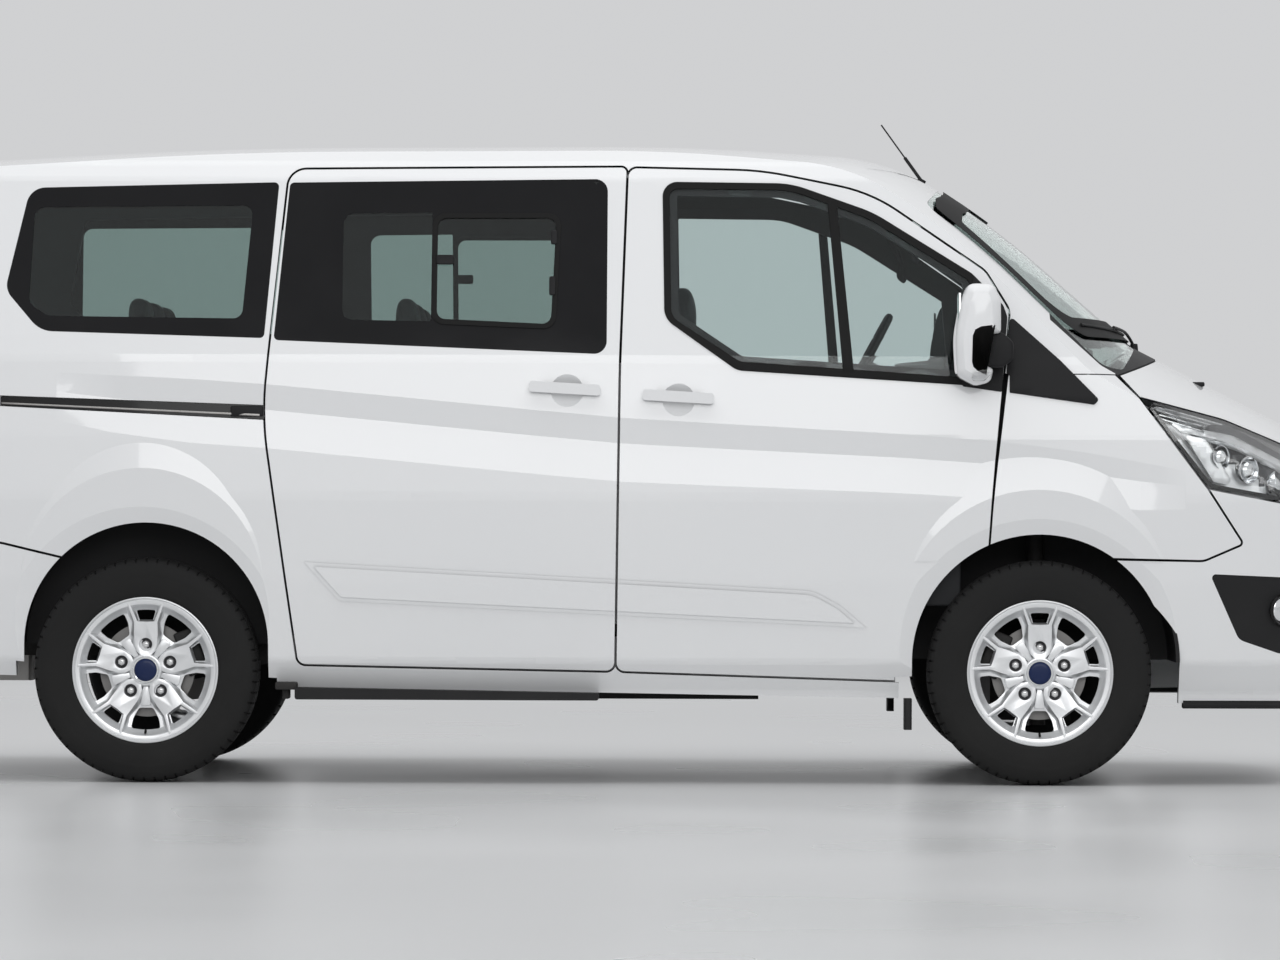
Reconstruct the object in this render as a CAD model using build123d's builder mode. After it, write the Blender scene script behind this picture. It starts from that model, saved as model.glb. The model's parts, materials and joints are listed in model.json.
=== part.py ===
"""Minibus: hollow body, hinged front doors, bonnet and tailgate, steering and free wheels.

Millimetres.  +X points forward, +Y to the left, +Z up.  The origin lies on the ground,
midway between the bumpers.
"""

import os

from build123d import *

# ---------------------------------------------------------------- driving dimensions
LENGTH = 4750
HALF_LENGTH = LENGTH / 2
HALF_WIDTH = 993
WHEELBASE = 2800
REAR_AXLE_X = -1375
FRONT_AXLE_X = REAR_AXLE_X + WHEELBASE
TYRE_RADIUS = 352
WHEEL_Y = 865
KINGPIN_Y = 800

FRAME_WALL = 45
GLASS = 6
GAP = 7
BELT_Z = 1375
FIREWALL_X = 1345
REACH = 1250

FRONT_ARCH = (FRONT_AXLE_X, TYRE_RADIUS + 34, 400)
REAR_ARCH = (REAR_AXLE_X, TYRE_RADIUS + 78, 384)
ARCH_LIP_Y = 925
FRONT_HOUSE_RADIUS = 440
FRONT_HOUSE_Y = 545
REAR_HOUSE_RADIUS = 410
REAR_HOUSE_Y = 700

# ---------------------------------------------------------------- body form tables
# Body section: distance from the centre plane, height, corner radius
SECTION = [
    (850, 0, 0),
    (915, 290, 60),
    (964, 385, 60),
    (988, 640, 400),
    (993, 900, 500),
    (985, 1090, 400),
    (966, 1330, 150),
    (948, 1400, 150),
    (806, 1900, 60),
    (770, 1955, 50),
    (640, 2010, 120),
    (-100, 2100, 0),
]
BOW_RADIUS = 40000
BOW_CENTRE_X = -100

# Centre outline: x, z, corner radius, share of the plan bow, share of the crown
OUTLINE = [
    (-2375, 0, 0, -0.6, 0),
    (-2375, 745, 25, -0.6, 0),
    (-2330, 775, 15, -0.6, 0),
    (-2300, 1290, 900, -0.5, 0),
    (-2140, 1975, 70, -0.2, 1),
    (-1150, 2032, 16000, 0, 1),
    (300, 2040, 7000, 0.7, 1),
    (985, 2000, 700, 1, 1),
    (1340, 1768, 2500, 1, 1),
    (1771, 1394, 60, 1, 1.2),
    (2262, 1143, 300, 1, 1.6),
    (2350, 1065, 60, 1, 1.3),
    (2375, 960, 60, 1, 0.6),
    (2375, 0, 0, 1, 0),
]
# Stations across the right half: y, plan bow, crown
STATIONS = [
    (-1050, 241, 100),
    (-525, 60, 25),
    (0, 0, 0),
]
NOSE_BOW_RADIUS = 2290
NOSE_LEAD = 25
NOSE_CORNER = 330
TAIL_CORNER = 150

# ---------------------------------------------------------------- side-view outlines: x, z, corner radius
FRONT_DOOR = [
    (97, 351, 30),
    (108, 1300, 3000),
    (129, 1941, 30),
    (549, 1932, 900),
    (895, 1862, 500),
    (1255, 1614, 80),
    (1330, 1490, 60),
    (1275, 893, 2500),
    (1262, 690, 0),
    (1262, 315, 0),
]
SLIDING_DOOR = [
    (96, 351, 30),
    (107, 1300, 3000),
    (128, 1943, 20),
    (-941, 1933, 60),
    (-1012, 1150, 900),
    (-899, 369, 30),
]
QUARTER_GLASS = [
    (-1829, 1545, 60),
    (-1760, 1870, 60),
    (-971, 1889, 15),
    (-1009, 1393, 15),
    (-1715, 1414, 90),
]
SLIDING_GLASS = [
    (-937, 1888, 15),
    (66, 1902, 40),
    (66, 1345, 40),
    (-979, 1387, 15),
]
FRONT_GLASS = [
    (256, 1455, 60),
    (248, 1884, 40),
    (640, 1880, 300),
    (895, 1790, 400),
    (1215, 1592, 40),
    (1248, 1258, 60),
    (478, 1306, 60),
]
WING = [
    (1262, 690, 0),
    (1275, 893, 2500),
    (1322, 1290, 0),
    (1665, 1290, 0),
    (1736, 1216, 0),
    (1950, 932, 0),
    (2063, 758, 12),
    (1938, 704, 60),
    (1640, 710, 0),
]
HEADLAMP = [
    (1736, 1216, 12),
    (2017, 1150, 300),
    (2173, 1088, 200),
    (2440, 985, 0),
    (2440, 845, 0),
    (2172, 890, 60),
    (1950, 932, 40),
]
BONNET = [
    (1640, 1345, 0),
    (1674, 1290, 0),
    (1736, 1216, 0),
    (2017, 1150, 300),
    (2173, 1088, 200),
    (2440, 985, 0),
    (2440, 1600, 0),
    (1640, 1600, 0),
]
FRONT_BUMPER = [
    (1560, 245, 0),
    (1560, 710, 0),
    (1938, 704, 60),
    (2063, 758, 12),
    (1950, 932, 0),
    (2172, 890, 60),
    (2440, 845, 0),
    (2440, 300, 0),
    (2200, 262, 0),
]
REAR_BUMPER = [
    (-1500, 322, 0),
    (-1500, 690, 0),
    (-1635, 702, 0),
    (-1828, 748, 100),
    (-2100, 775, 200),
    (-2450, 775, 0),
    (-2450, 345, 0),
]
BODY_SIDE = [
    (-1250, 305, 0),
    (1040, 270, 0),
    (1262, 690, 0),
    (1262, 1290, 0),
    (1665, 1290, 0),
    (1900, 2200, 0),
    (-2450, 2200, 0),
    (-2450, 779, 0),
    (-2100, 779, 200),
    (-1828, 752, 100),
    (-1635, 706, 0),
    (-1500, 694, 0),
    (-1250, 694, 0),
]
GLASS_LAP = 35
BUMPER_INSERT = [
    (1957, 664, 12),
    (2290, 650, 0),
    (2290, 398, 0),
    (2174, 416, 0),
    (2050, 458, 40),
]
RAIL_SLOT = [
    (-1836, 1211, 0),
    (-1004, 1183, 0),
    (-1004, 1136, 0),
    (-1836, 1177, 0),
]
RAIL_SLOT_Y = 915
INSERT_INNER_Y = 500

# pressed forms of the sides
# wheel arch flares: x, z, rim radius, face radius, height where the face sinks in, lean of the face
FLARES = [
    (1421, 483, 489, 444, 700, 0.075),
    (-1388, 604, 436, 381, 600, 0.047),
]
FLARE_HEIGHT = 14
LIP_WIDTH = 50
LIP_DEPTH = 12
# shoulder crease: x, z, depth of the hollow under it, height of the hollow
CREASE = [
    (-1660, 1284, 0.5, 150),
    (-1480, 1275, 8, 180),
    (-1240, 1264, 10, 200),
    (-1000, 1248, 10, 200),
    (-720, 1222, 10, 200),
    (-440, 1196, 10, 200),
    (-160, 1170, 10, 200),
    (120, 1146, 10, 200),
    (400, 1130, 10, 195),
    (700, 1114, 10, 190),
    (1000, 1098, 10, 185),
    (1300, 1076, 10, 180),
    (1560, 1044, 9, 165),
    (1740, 1013, 6, 150),
    (1880, 986, 0.5, 120),
]
CREASE_TURN = 0.4
# door moulding: x, z, corner radius
MOULDING = [
    (-878, 692, 0),
    (715, 607, 120),
    (800, 560, 60),
    (880, 492, 0),
    (-768, 570, 30),
]
MOULDING_LIP = 3
MOULDING_HEIGHT = 9
MOULDING_EDGE = 13
# door handles: x and z of the cup, x and z of the bar's middle
SLIDING_HANDLE = (-57, 1238, -64, 1238)
FRONT_HANDLE = (293, 1210, 291, 1213)
HANDLE_LEAN = 3.2
HANDLE_CORNER = 9
CUP_RADIUS = 51
CUP_DEPTH = 14
HANDLE_LENGTH = 222
HANDLE_HEIGHT = 34
HANDLE_THICK = 13
HANDLE_STAND = 16
FOOT_LENGTH = 44
FOOT_HEIGHT = 28
FOOT_SINK = 10
CONE_DEPTH = 60

# windscreen outline on its own slope: y, distance up the slope, corner radius
WINDSCREEN_BASE = (1771, 1394)
WINDSCREEN_NORMAL = (0.656, 0, 0.755)
WINDSCREEN = [
    (-835, 0, 90),
    (835, 0, 90),
    (712, 815, 70),
    (-712, 815, 70),
]

# rear-view outlines: y, z, corner radius
TAILGATE = [
    (-800, 790, 60),
    (800, 790, 60),
    (770, 1500, 900),
    (690, 2100, 0),
    (-690, 2100, 0),
    (-770, 1500, 900),
]
TAILGATE_GLASS = [
    (-735, 1360, 60),
    (735, 1360, 60),
    (650, 1890, 90),
    (-650, 1890, 90),
]
TAILGATE_DEPTH = [
    (-2095, 2100, 0),
    (-2090, 1990, 0),
    (-2040, 1890, 0),
    (-2040, 700, 0),
    (-2500, 700, 0),
    (-2500, 2100, 0),
]
TAIL_LAMP = [
    (800, 850, 20),
    (1010, 850, 0),
    (1010, 1370, 0),
    (787, 1330, 30),
]
TAIL_LAMP_FRONT_X = -2150
REAR_PANEL_HALF = 780
PLATE_Z = 1120
PLATE_WIDTH = 560
PLATE_HEIGHT = 150
# roof panel plan, right half: x, y
ROOF_PLAN = [
    (-2450, 0),
    (-2450, -735),
    (850, -735),
    (1300, -700),
    (1300, 0),
]
GRILLE_HALF = 470
SCUTTLE_HALF = 835
BONNET_REAR_X = (1650, 1852)
CABIN_HALF = 873
CABIN_REAR_X = -2100
FLOOR_TOP = 500
FLOOR_DEPTH = 40
B_PILLAR_X = (62, 168)
B_PILLAR = [
    (866, FLOOR_TOP, 0),
    (866, 1360, 0),
    (880, 1440, 0),
    (748, 1900, 0),
    (738, 1944, 0),
    (790, 1950, 0),
    (790, 2020, 0),
    (640, 2020, 0),
    (650, 1900, 0),
    (812, 1430, 0),
    (812, FLOOR_TOP, 0),
]

SILL_BOX_X = (-955, 975)
SILL_BOX = [
    (873, 300, 0),
    (873, 345, 0),
    (862, 345, 0),
    (862, FLOOR_TOP - FLOOR_DEPTH, 0),
    (790, FLOOR_TOP - FLOOR_DEPTH, 0),
    (790, 300, 0),
]
# floor plan of one half: x, y
FLOOR_PLAN = [
    (-2240, 0),
    (-2240, 700),
    (CABIN_REAR_X, CABIN_HALF),
    (-1790, CABIN_HALF),
    (-1790, 698),
    (-960, 698),
    (-960, CABIN_HALF),
    (90, CABIN_HALF),
    (90, 860),
    (984, 860),
    (984, 543),
    (1330, 543),
    (1330, 0),
]
RAIL_Y = 435
RAIL_WIDTH = 70
RAIL_DEPTH = 75
RAIL_X = (-2240, 2270)
SOCKET_Z = 415
SOCKET_RADIUS = 9
SOCKET_DEPTH = 60
RACK_POINTS = ((-950, -620), (450, -620))
RACK_HOLE_RADIUS = 4.2
FIREWALL_DEPTH = 15
FIREWALL = [
    (-540, 460, 0),
    (540, 460, 0),
    (540, 832, 0),
    (862, 832, 0),
    (862, 1150, 0),
    (-862, 1150, 0),
    (-862, 832, 0),
    (-540, 832, 0),
]
DASH_HALF = 855
DASHBOARD = [
    (1330, 840, 0),
    (1110, 850, 60),
    (1000, 1000, 60),
    (985, 1150, 60),
    (1040, 1270, 60),
    (1180, 1330, 60),
    (1500, 1320, 30),
    (1580, 1290, 20),
    (1580, 1180, 0),
    (1345, 1150, 0),
    (1330, 1150, 0),
]

# nose openings
LOWER_INTAKE = [
    (-600, 335, 30),
    (600, 335, 30),
    (560, 520, 30),
    (-560, 520, 30),
]
LOWER_SLOT_HALF = 540
LOWER_SLOT_HEIGHT = 30
LOWER_BAR_ZS = (355, 400, 445, 485)
GRILLE_SLOT_HALF = 440
GRILLE_POST = 30
GRILLE_SLOT_HEIGHT = 26
GRILLE_SLOT_ZS = (885, 930, 975)

# seat side profile from the hip point: forward, up, corner radius
SEAT = [
    (-90, -150, 40),
    (400, -150, 40),
    (420, -30, 50),
    (60, -70, 80),
    (-110, 480, 30),
    (-200, 480, 30),
    (-120, 60, 60),
]
HEADREST = [
    (-215, 520, 25),
    (-125, 520, 25),
    (-140, 680, 25),
    (-215, 680, 25),
]
HEADREST_HALF = 135
HEADREST_POST_X = -165
HEADREST_POST_RADIUS = 7
HEADREST_POST_SPREAD = 120
HEADREST_POST_SINK = 60
HEADREST_POST_LENGTH = 160
CUSHION_DEPTH = 150
SEAT_TOP = 480
# rows of seats: name, hip x, hip z, half width of a seat, y of each seat
SEAT_ROWS = [
    ("front_seats", 480, 900, 250, (-430, 430)),
    ("second_row_seats", -400, 860, 235, (-520, 0, 520)),
    ("third_row_seats", -1260, 860, 215, (-450, 0, 450)),
]
PLINTH_HALF_LENGTH = 190

# underbody
SUBFRAME_Z = 230
AXLE_TUBE = 33
STUB_RADIUS = 30
STRUT_Y = 640

LINER_WALL = 12

# tyre and rim sections about the wheel's axis: across (outside negative), radius, corner radius
TYRE = [
    (-90, 220, 0),
    (-112, 275, 0),
    (-108, 325, 0),
    (-84, 352, 0),
    (84, 352, 0),
    (108, 325, 0),
    (112, 275, 0),
    (90, 220, 0),
]
RIM = [
    (-84, 0, 0),
    (-84, 50, 0),
    (-78, 92, 0),
    (-94, 170, 0),
    (-108, 229, 0),
    (-98, 220, 0),
    (98, 220, 0),
    (106, 229, 0),
    (106, 206, 0),
    (-74, 196, 0),
    (-46, 90, 0),
    (-34, 62, 0),
    (-28, 62, 0),
    (-28, 148, 0),
    (-6, 148, 0),
    (-6, 62, 0),
    (-2, 62, 0),
    (-2, 30.4, 0),
    (-66, 30.4, 0),
    (-66, 0, 0),
]
SPOKES = 5
SPOKE_START = 90
# windows in the wheel face: outward from the hub, across, corner radius
FORK_WINDOW = [
    (152, -19, 0),
    (188, -29, 0),
    (188, 29, 0),
    (152, 19, 0),
]
WIDE_WINDOW = [
    (92, 0, 0),
    (112, -40, 0),
    (158, -68, 0),
    (182, -52, 0),
    (190, 0, 0),
    (182, 52, 0),
    (158, 68, 0),
    (112, 40, 0),
]
WINDOW_START = 40

# steering gear at a front wheel, and the axles' stubs
KINGPIN_HALF = 140
KINGPIN_RADIUS = 22
PIN_PLAY = 0.5
BOSS_RADIUS = 50
BOSS_Y = (776, 862)
STUB_END_Y = 928
ARM_WIDTH = 50
ARM_DEPTH = 26
ARM_ROOM = 12
ARM_LOWER_Z = TYRE_RADIUS - KINGPIN_HALF - PIN_PLAY - ARM_DEPTH
ARM_UPPER_Z = TYRE_RADIUS + KINGPIN_HALF + PIN_PLAY
ARM_INNER_Y = 380
ARM_SLOT = (FRONT_AXLE_X, ARM_UPPER_Z + ARM_DEPTH / 2)
STRUT_RADIUS = 26
SUBFRAME_DROP = 44
SUBFRAME_LENGTH = 260
STRUT_HEIGHT = 600
SPRING_Y = 600
SPRING_RADIUS = 45
TRAILING_ARM_WIDTH = 60
# trailing arm seen from the side: x, z
TRAILING_ARM = [
    (REAR_AXLE_X - 60, 300),
    (REAR_AXLE_X + 60, 300),
    (-900, 390),
    (-900, 460),
    (-960, 460),
    (REAR_AXLE_X - 60, 400),
]

# steering wheel
STEER_CENTRE = (900, 400, 1335)
STEER_RADIUS = 190
STEER_GRIP = 14
STEER_DIRECTION = (0.883, 0, -0.469)
STEER_UP = (0.469, 0, 0.883)
STEER_BOSS_RADIUS = 62
STEER_SPOKE = 44
STEER_SPOKE_LOW = 38
STEER_SPOKE_THICK = 14
STEER_HUB_RADIUS = 56
STEER_HUB_FRONT = 10
COLUMN_START = 24
COLUMN_RADIUS = 34
COLUMN_LENGTH = 150

# door mirror, right side: x, z, corner radius
MIRROR_HEAD = [
    (1166, 1248, 40),
    (1152, 1400, 300),
    (1180, 1560, 45),
    (1280, 1572, 40),
    (1304, 1500, 60),
    (1302, 1390, 60),
    (1250, 1248, 40),
]
MIRROR_Y = (985, 1135)
MIRROR_ROUND = 22
MIRROR_ARM = [
    (1236, 1330, 12),
    (1236, 1402, 12),
    (1308, 1402, 20),
    (1314, 1330, 12),
]
MIRROR_ARM_Y = (860, 1010)

# fittings outside the body
STEP_Y = (852, 985)
STEP = [
    (-906, 262, 8),
    (45, 262, 8),
    (45, 285, 0),
    (-906, 299.5, 0),
]
MUDFLAP = (1001, 1025, 862, 958, 173, 270)
ANTENNA_FOOT = (1080.1, 0, 1934)
ANTENNA_FOOT_NORMAL = (0.459, 0, 0.888)
ANTENNA_FOOT_RADIUS = 14
ANTENNA_FOOT_HEIGHT = 12
ANTENNA_BASE = (1083, 0, 1939)
ANTENNA_TIP = (950, 0, 2123)
ANTENNA_SLEEVE_RADIUS = 5.5
ANTENNA_SLEEVE_LENGTH = 95
ANTENNA_RADIUS = 2.5
ENGINE = (1640, 2130, 400, 400, 990)
RADIATOR = (2170, 2200, 400, 330, 900)
TANK = (-250, 550, 100, 380, 250, 455)
SILENCER = (-2150, -1800, -300, 300, 300, 460)
EXHAUST_RADIUS = 27
EXHAUST_Z = 424


# ---------------------------------------------------------------- helpers
def outline(plane, rows, margin=0):
    """Sketch a closed outline from rows of two coordinates and a corner radius."""
    with BuildSketch(plane) as sketch:
        with BuildLine():
            FilletPolyline(*[row[:2] for row in rows], radius=[row[2] for row in rows], close=True)
        make_face()
        if margin:
            offset(amount=margin, kind=Kind.INTERSECTION, mode=Mode.REPLACE)
    return sketch.sketch


def side_cut(rows, margin=0, mode=Mode.SUBTRACT, inner=0):
    """Carry a side-view outline through the right half, outward from the distance given."""
    extrude(outline(Plane.XZ.offset(inner), rows, margin), amount=REACH - inner, mode=mode)


def arch_sketch(arch, y, grow=0):
    """Wheel arch opening seen from the side, open to the ground."""
    x, z, radius = arch
    with BuildSketch(Plane.XZ.offset(y)) as sketch:
        with Locations((x, z)):
            Circle(radius + grow)
        with Locations((x, z - radius)):
            Rectangle(2 * (radius + grow), 2 * radius)
    return sketch.sketch


def arch_cut(arch, house_radius):
    """Open a wheel arch through the right side and the wider wheelhouse behind its lip."""
    extrude(arch_sketch(arch, 0), amount=REACH, mode=Mode.SUBTRACT)
    extrude(arch_sketch(arch, 0, house_radius - arch[2]), amount=ARCH_LIP_Y, mode=Mode.SUBTRACT)


def centre_form(inset):
    """Right half of the long outline, lofted from the side to the centre plane."""
    with BuildPart() as form:
        for y, bow, crown in STATIONS:
            with BuildSketch(Plane.XZ.offset(-y)):
                with BuildLine():
                    corners = [(x - b * bow, z - c * crown) for x, z, r, b, c in OUTLINE]
                    FilletPolyline(*corners, radius=[row[2] for row in OUTLINE], close=True)
                make_face()
                if inset:
                    offset(amount=-inset, kind=Kind.INTERSECTION, mode=Mode.REPLACE)
        loft()
    return form.part


def side_form(inset):
    """Body section swung about a far upright axis, so that the side bows gently."""
    reach = BOW_RADIUS - HALF_WIDTH
    corners = [(1000, 0)] + [(reach + w, z) for w, z, r in SECTION] + [(1000, 2100)]
    radii = [0] + [r for w, z, r in SECTION] + [0]
    with BuildPart() as form:
        with BuildSketch(Plane(origin=(BOW_CENTRE_X, reach, 0), x_dir=(0, 1, 0), z_dir=(1, 0, 0))):
            with BuildLine():
                FilletPolyline(*corners, radius=radii, close=True)
            make_face()
            if inset:
                offset(amount=-inset, kind=Kind.INTERSECTION, mode=Mode.REPLACE)
        revolve(axis=Axis((BOW_CENTRE_X, reach, 0), (0, 0, 1)))
    return form.part


def plan_form(inset):
    """Rounded plan of the nose and tail corners."""
    side_y = HALF_WIDTH + 30
    nose_x = HALF_LENGTH + NOSE_LEAD
    nose_side_x = nose_x - HALF_WIDTH**2 / (2 * NOSE_BOW_RADIUS)
    with BuildPart() as form:
        with BuildSketch():
            with BuildLine():
                ThreePointArc((nose_side_x, -side_y), (nose_x, 0), (nose_side_x, side_y))
                Polyline(
                    (nose_side_x, side_y),
                    (-HALF_LENGTH, side_y),
                    (-HALF_LENGTH, -side_y),
                    (nose_side_x, -side_y),
                )
            make_face()
            fillet(vertices().filter_by_position(Axis.X, 0, 3000), NOSE_CORNER)
            fillet(vertices().filter_by_position(Axis.X, -3000, -2000), TAIL_CORNER)
            if inset:
                offset(amount=-inset, mode=Mode.REPLACE)
        extrude(amount=2200)
    return form.part


def body_form(inset):
    """Right half of the body's outer form, or the same form set in by a wall."""
    with BuildPart() as form:
        add(centre_form(inset))
        add(side_form(inset), mode=Mode.INTERSECT)
        add(plan_form(inset), mode=Mode.INTERSECT)
    return form.part


def side_y(x, z):
    """Distance of the plain side surface from the centre plane."""
    for (low_w, low_z, low_r), (high_w, high_z, high_r) in zip(SECTION, SECTION[1:]):
        if low_z <= z <= high_z:
            width = low_w + (high_w - low_w) * (z - low_z) / (high_z - low_z)
    return width - (x - BOW_CENTRE_X) ** 2 / (2 * BOW_RADIUS)


def crease_hollow():
    """Hollow under the shoulder crease, lofted along the side."""
    with BuildPart() as hollow:
        for x, z, depth, height in CREASE:
            turn_z = z - CREASE_TURN * height
            with BuildSketch(Plane.YZ.offset(x)):
                with BuildLine():
                    Polyline(
                        (-side_y(x, z), z),
                        (-side_y(x, turn_z) + depth, turn_z),
                        (-side_y(x, z - height), z - height),
                        (-REACH, z - height),
                        (-REACH, z),
                        close=True,
                    )
                make_face()
        loft(ruled=True)
    return hollow.part


def moulding_step(grow, margin):
    """One step of the door moulding, as high as the side form is grown."""
    with BuildPart() as step:
        add(side_form(-grow))
        side_cut(MOULDING, margin, Mode.INTERSECT, 900)
    return step.part


def flare_plane(flare, z):
    """Plane of a flare's face at the height given, its axis square to the bowed side."""
    x, flare_z, rim, face, sink_z, lean = flare
    cap_y = side_y(x, sink_z) + lean * (z - sink_z)
    return Plane(origin=(x, -cap_y, z), z_dir=((x - BOW_CENTRE_X) / BOW_RADIUS, -1, -lean))


def flare_form(flare):
    """Wheel arch flare: a flat cone whose face sinks into the side at its lower end."""
    x, z, rim, face, sink_z, lean = flare
    spread = CONE_DEPTH * (rim - face) / FLARE_HEIGHT
    with BuildPart() as boss:
        with Locations(flare_plane(flare, z)):
            Cone(face + spread, face, CONE_DEPTH, align=(Align.CENTER, Align.CENTER, Align.MAX))
        with BuildSketch(Plane.XZ):
            with Locations((x, sink_z + rim)):
                Rectangle(3 * rim, 2 * rim)
        extrude(amount=REACH, mode=Mode.INTERSECT)
    return boss.part


def lip_bevel(arch, flare):
    """Cone that bevels the lip of a wheel arch."""
    x, z, radius = arch
    spread = CONE_DEPTH * LIP_WIDTH / LIP_DEPTH
    rim = radius + LIP_WIDTH
    with BuildPart() as bevel:
        with Locations(flare_plane(flare, z)):
            Cone(rim - spread, rim + spread, 2 * CONE_DEPTH)
    return bevel.part


def handle_cup(cup_x, cup_z):
    """Ball that sinks the cup behind a door handle."""
    ball = (CUP_RADIUS**2 + CUP_DEPTH**2) / (2 * CUP_DEPTH)
    with BuildPart() as cup:
        with Locations((cup_x, CUP_DEPTH - ball - side_y(cup_x, cup_z), cup_z)):
            Sphere(ball)
    return cup.part


def handle_bar(bar_x, bar_z):
    """Door handle: a bar on two feet, leaning down towards the front."""
    face_y = side_y(bar_x, bar_z)
    foot = Vector((HANDLE_LENGTH - FOOT_LENGTH) / 2, 0).rotate(Axis.Z, -HANDLE_LEAN)
    with BuildPart() as bar:
        with BuildSketch(Plane.XZ.offset(face_y + HANDLE_STAND)):
            with Locations((bar_x, bar_z)):
                RectangleRounded(HANDLE_LENGTH, HANDLE_HEIGHT, HANDLE_CORNER, rotation=-HANDLE_LEAN)
        extrude(amount=HANDLE_THICK)
        with BuildSketch(Plane.XZ.offset(face_y - FOOT_SINK)):
            with Locations((bar_x - foot.X, bar_z - foot.Y), (bar_x + foot.X, bar_z + foot.Y)):
                RectangleRounded(FOOT_LENGTH, FOOT_HEIGHT, HANDLE_CORNER, rotation=-HANDLE_LEAN)
        extrude(amount=HANDLE_STAND + FOOT_SINK)
    return bar.part


def finish(piece, label):
    """Label a finished piece and write it out."""
    piece.label = label
    export_step(piece, "parts/" + label + ".step")


def both_sides(piece, name):
    """Write a right-hand piece and its mirror image."""
    finish(piece, name + "_right")
    with BuildPart() as other:
        add(piece)
        mirror(about=Plane.XZ, mode=Mode.REPLACE)
    finish(other.part, name + "_left")


def pair(piece, name):
    """Write a right-hand piece and its mirror image as one node of separate solids."""
    with BuildPart() as two:
        add(piece)
        mirror(about=Plane.XZ)
    finish(two.part, name)


def whole(piece, name):
    """Write a piece made of a right half and its mirror image."""
    with BuildPart() as full:
        add(piece)
        mirror(about=Plane.XZ)
    finish(full.part, name)


def pane(rows):
    """Flush window pane of the right side."""
    with BuildPart() as sheet:
        add(outer)
        side_cut(rows, 0, Mode.INTERSECT, 500)
        add(glass_inner, mode=Mode.SUBTRACT)
    return sheet.part


os.makedirs("parts", exist_ok=True)

# ---------------------------------------------------------------- body forms, right half
with BuildPart() as pressed:
    add(body_form(0))
    add(crease_hollow(), mode=Mode.SUBTRACT)
    for grow, margin in ((MOULDING_LIP, 0), (MOULDING_HEIGHT, -MOULDING_EDGE)):
        add(moulding_step(grow, margin))
    for arch, flare in zip((FRONT_ARCH, REAR_ARCH), FLARES):
        add(flare_form(flare))
        add(lip_bevel(arch, flare), mode=Mode.SUBTRACT)
outer = pressed.part
glass_inner = body_form(GLASS)
lining = body_form(FRAME_WALL)
with BuildPart() as cavity:
    add(lining)
    with BuildSketch(Plane.XY.offset(-10)):
        with Locations(((FIREWALL_X + CABIN_REAR_X) / 2, 0)):
            Rectangle(FIREWALL_X - CABIN_REAR_X, 2400)
    extrude(amount=BELT_Z + 10, mode=Mode.SUBTRACT)
    with BuildSketch(Plane.XY.offset(-10)):
        with Locations(((FIREWALL_X + CABIN_REAR_X) / 2, -CABIN_HALF / 2)):
            Rectangle(FIREWALL_X - CABIN_REAR_X, CABIN_HALF)
    extrude(amount=BELT_Z + 10)
with BuildPart() as skin:
    add(outer)
    add(cavity.part, mode=Mode.SUBTRACT)

# spaces that more than one panel is cut by
slope = Plane(origin=(WINDSCREEN_BASE[0], 0, WINDSCREEN_BASE[1]), x_dir=(0, 1, 0), z_dir=WINDSCREEN_NORMAL)
with BuildPart() as windscreen_space:
    extrude(outline(slope.offset(-350), WINDSCREEN), amount=700)
with BuildPart() as roof_space:
    with BuildSketch(Plane.XY.offset(1700)):
        with BuildLine():
            Polyline(*ROOF_PLAN, close=True)
        make_face()
    extrude(amount=500)
with BuildPart() as bonnet_space:
    with BuildSketch(Plane.XY.offset(900)):
        with BuildLine():
            ThreePointArc((BONNET_REAR_X[0], -900), (BONNET_REAR_X[1], 0), (BONNET_REAR_X[0], 900))
            Polyline((BONNET_REAR_X[0], 900), (2500, 900), (2500, -900), (BONNET_REAR_X[0], -900))
        make_face()
    extrude(amount=600)
with BuildPart() as scuttle_space:
    with BuildSketch(Plane.XY.offset(1260)):
        with Locations((1680, 0)):
            Rectangle(440, 2 * SCUTTLE_HALF)
    extrude(amount=300)
with BuildPart() as tail_lamp_space:
    lamp_sketch = outline(Plane.YZ.offset(-2500), [(-y, z, r) for y, z, r in TAIL_LAMP])
    extrude(lamp_sketch, amount=2500 + TAIL_LAMP_FRONT_X)


def tailgate_space(margin):
    """Block that the tailgate fills, from its rear view and its side view."""
    with BuildPart() as block:
        extrude(outline(Plane.YZ.offset(-2500), TAILGATE, margin), amount=600)
        extrude(outline(Plane.XZ, TAILGATE_DEPTH, margin), amount=REACH, both=True, mode=Mode.INTERSECT)
    return block.part


# ---------------------------------------------------------------- side panels
front_pane = pane(FRONT_GLASS)
sliding_pane = pane(SLIDING_GLASS)
quarter_pane = pane(QUARTER_GLASS)

with BuildPart() as front_door:
    add(skin.part)
    side_cut(FRONT_DOOR, -GAP / 2, Mode.INTERSECT)
    arch_cut(FRONT_ARCH, FRONT_HOUSE_RADIUS + 2 * GAP)
    add(front_pane, mode=Mode.SUBTRACT)
    side_cut(FRONT_GLASS, -GLASS_LAP)
    add(handle_cup(*FRONT_HANDLE[:2]), mode=Mode.SUBTRACT)
    add(handle_bar(*FRONT_HANDLE[2:]))
both_sides(front_door.part, "front_door")
both_sides(front_pane, "front_door_glass")

with BuildPart() as sliding_door:
    add(skin.part)
    side_cut(SLIDING_DOOR, -GAP / 2, Mode.INTERSECT)
    add(sliding_pane, mode=Mode.SUBTRACT)
    side_cut(SLIDING_GLASS, -GLASS_LAP)
    add(handle_cup(*SLIDING_HANDLE[:2]), mode=Mode.SUBTRACT)
    add(handle_bar(*SLIDING_HANDLE[2:]))
both_sides(sliding_door.part, "sliding_door")

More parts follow.
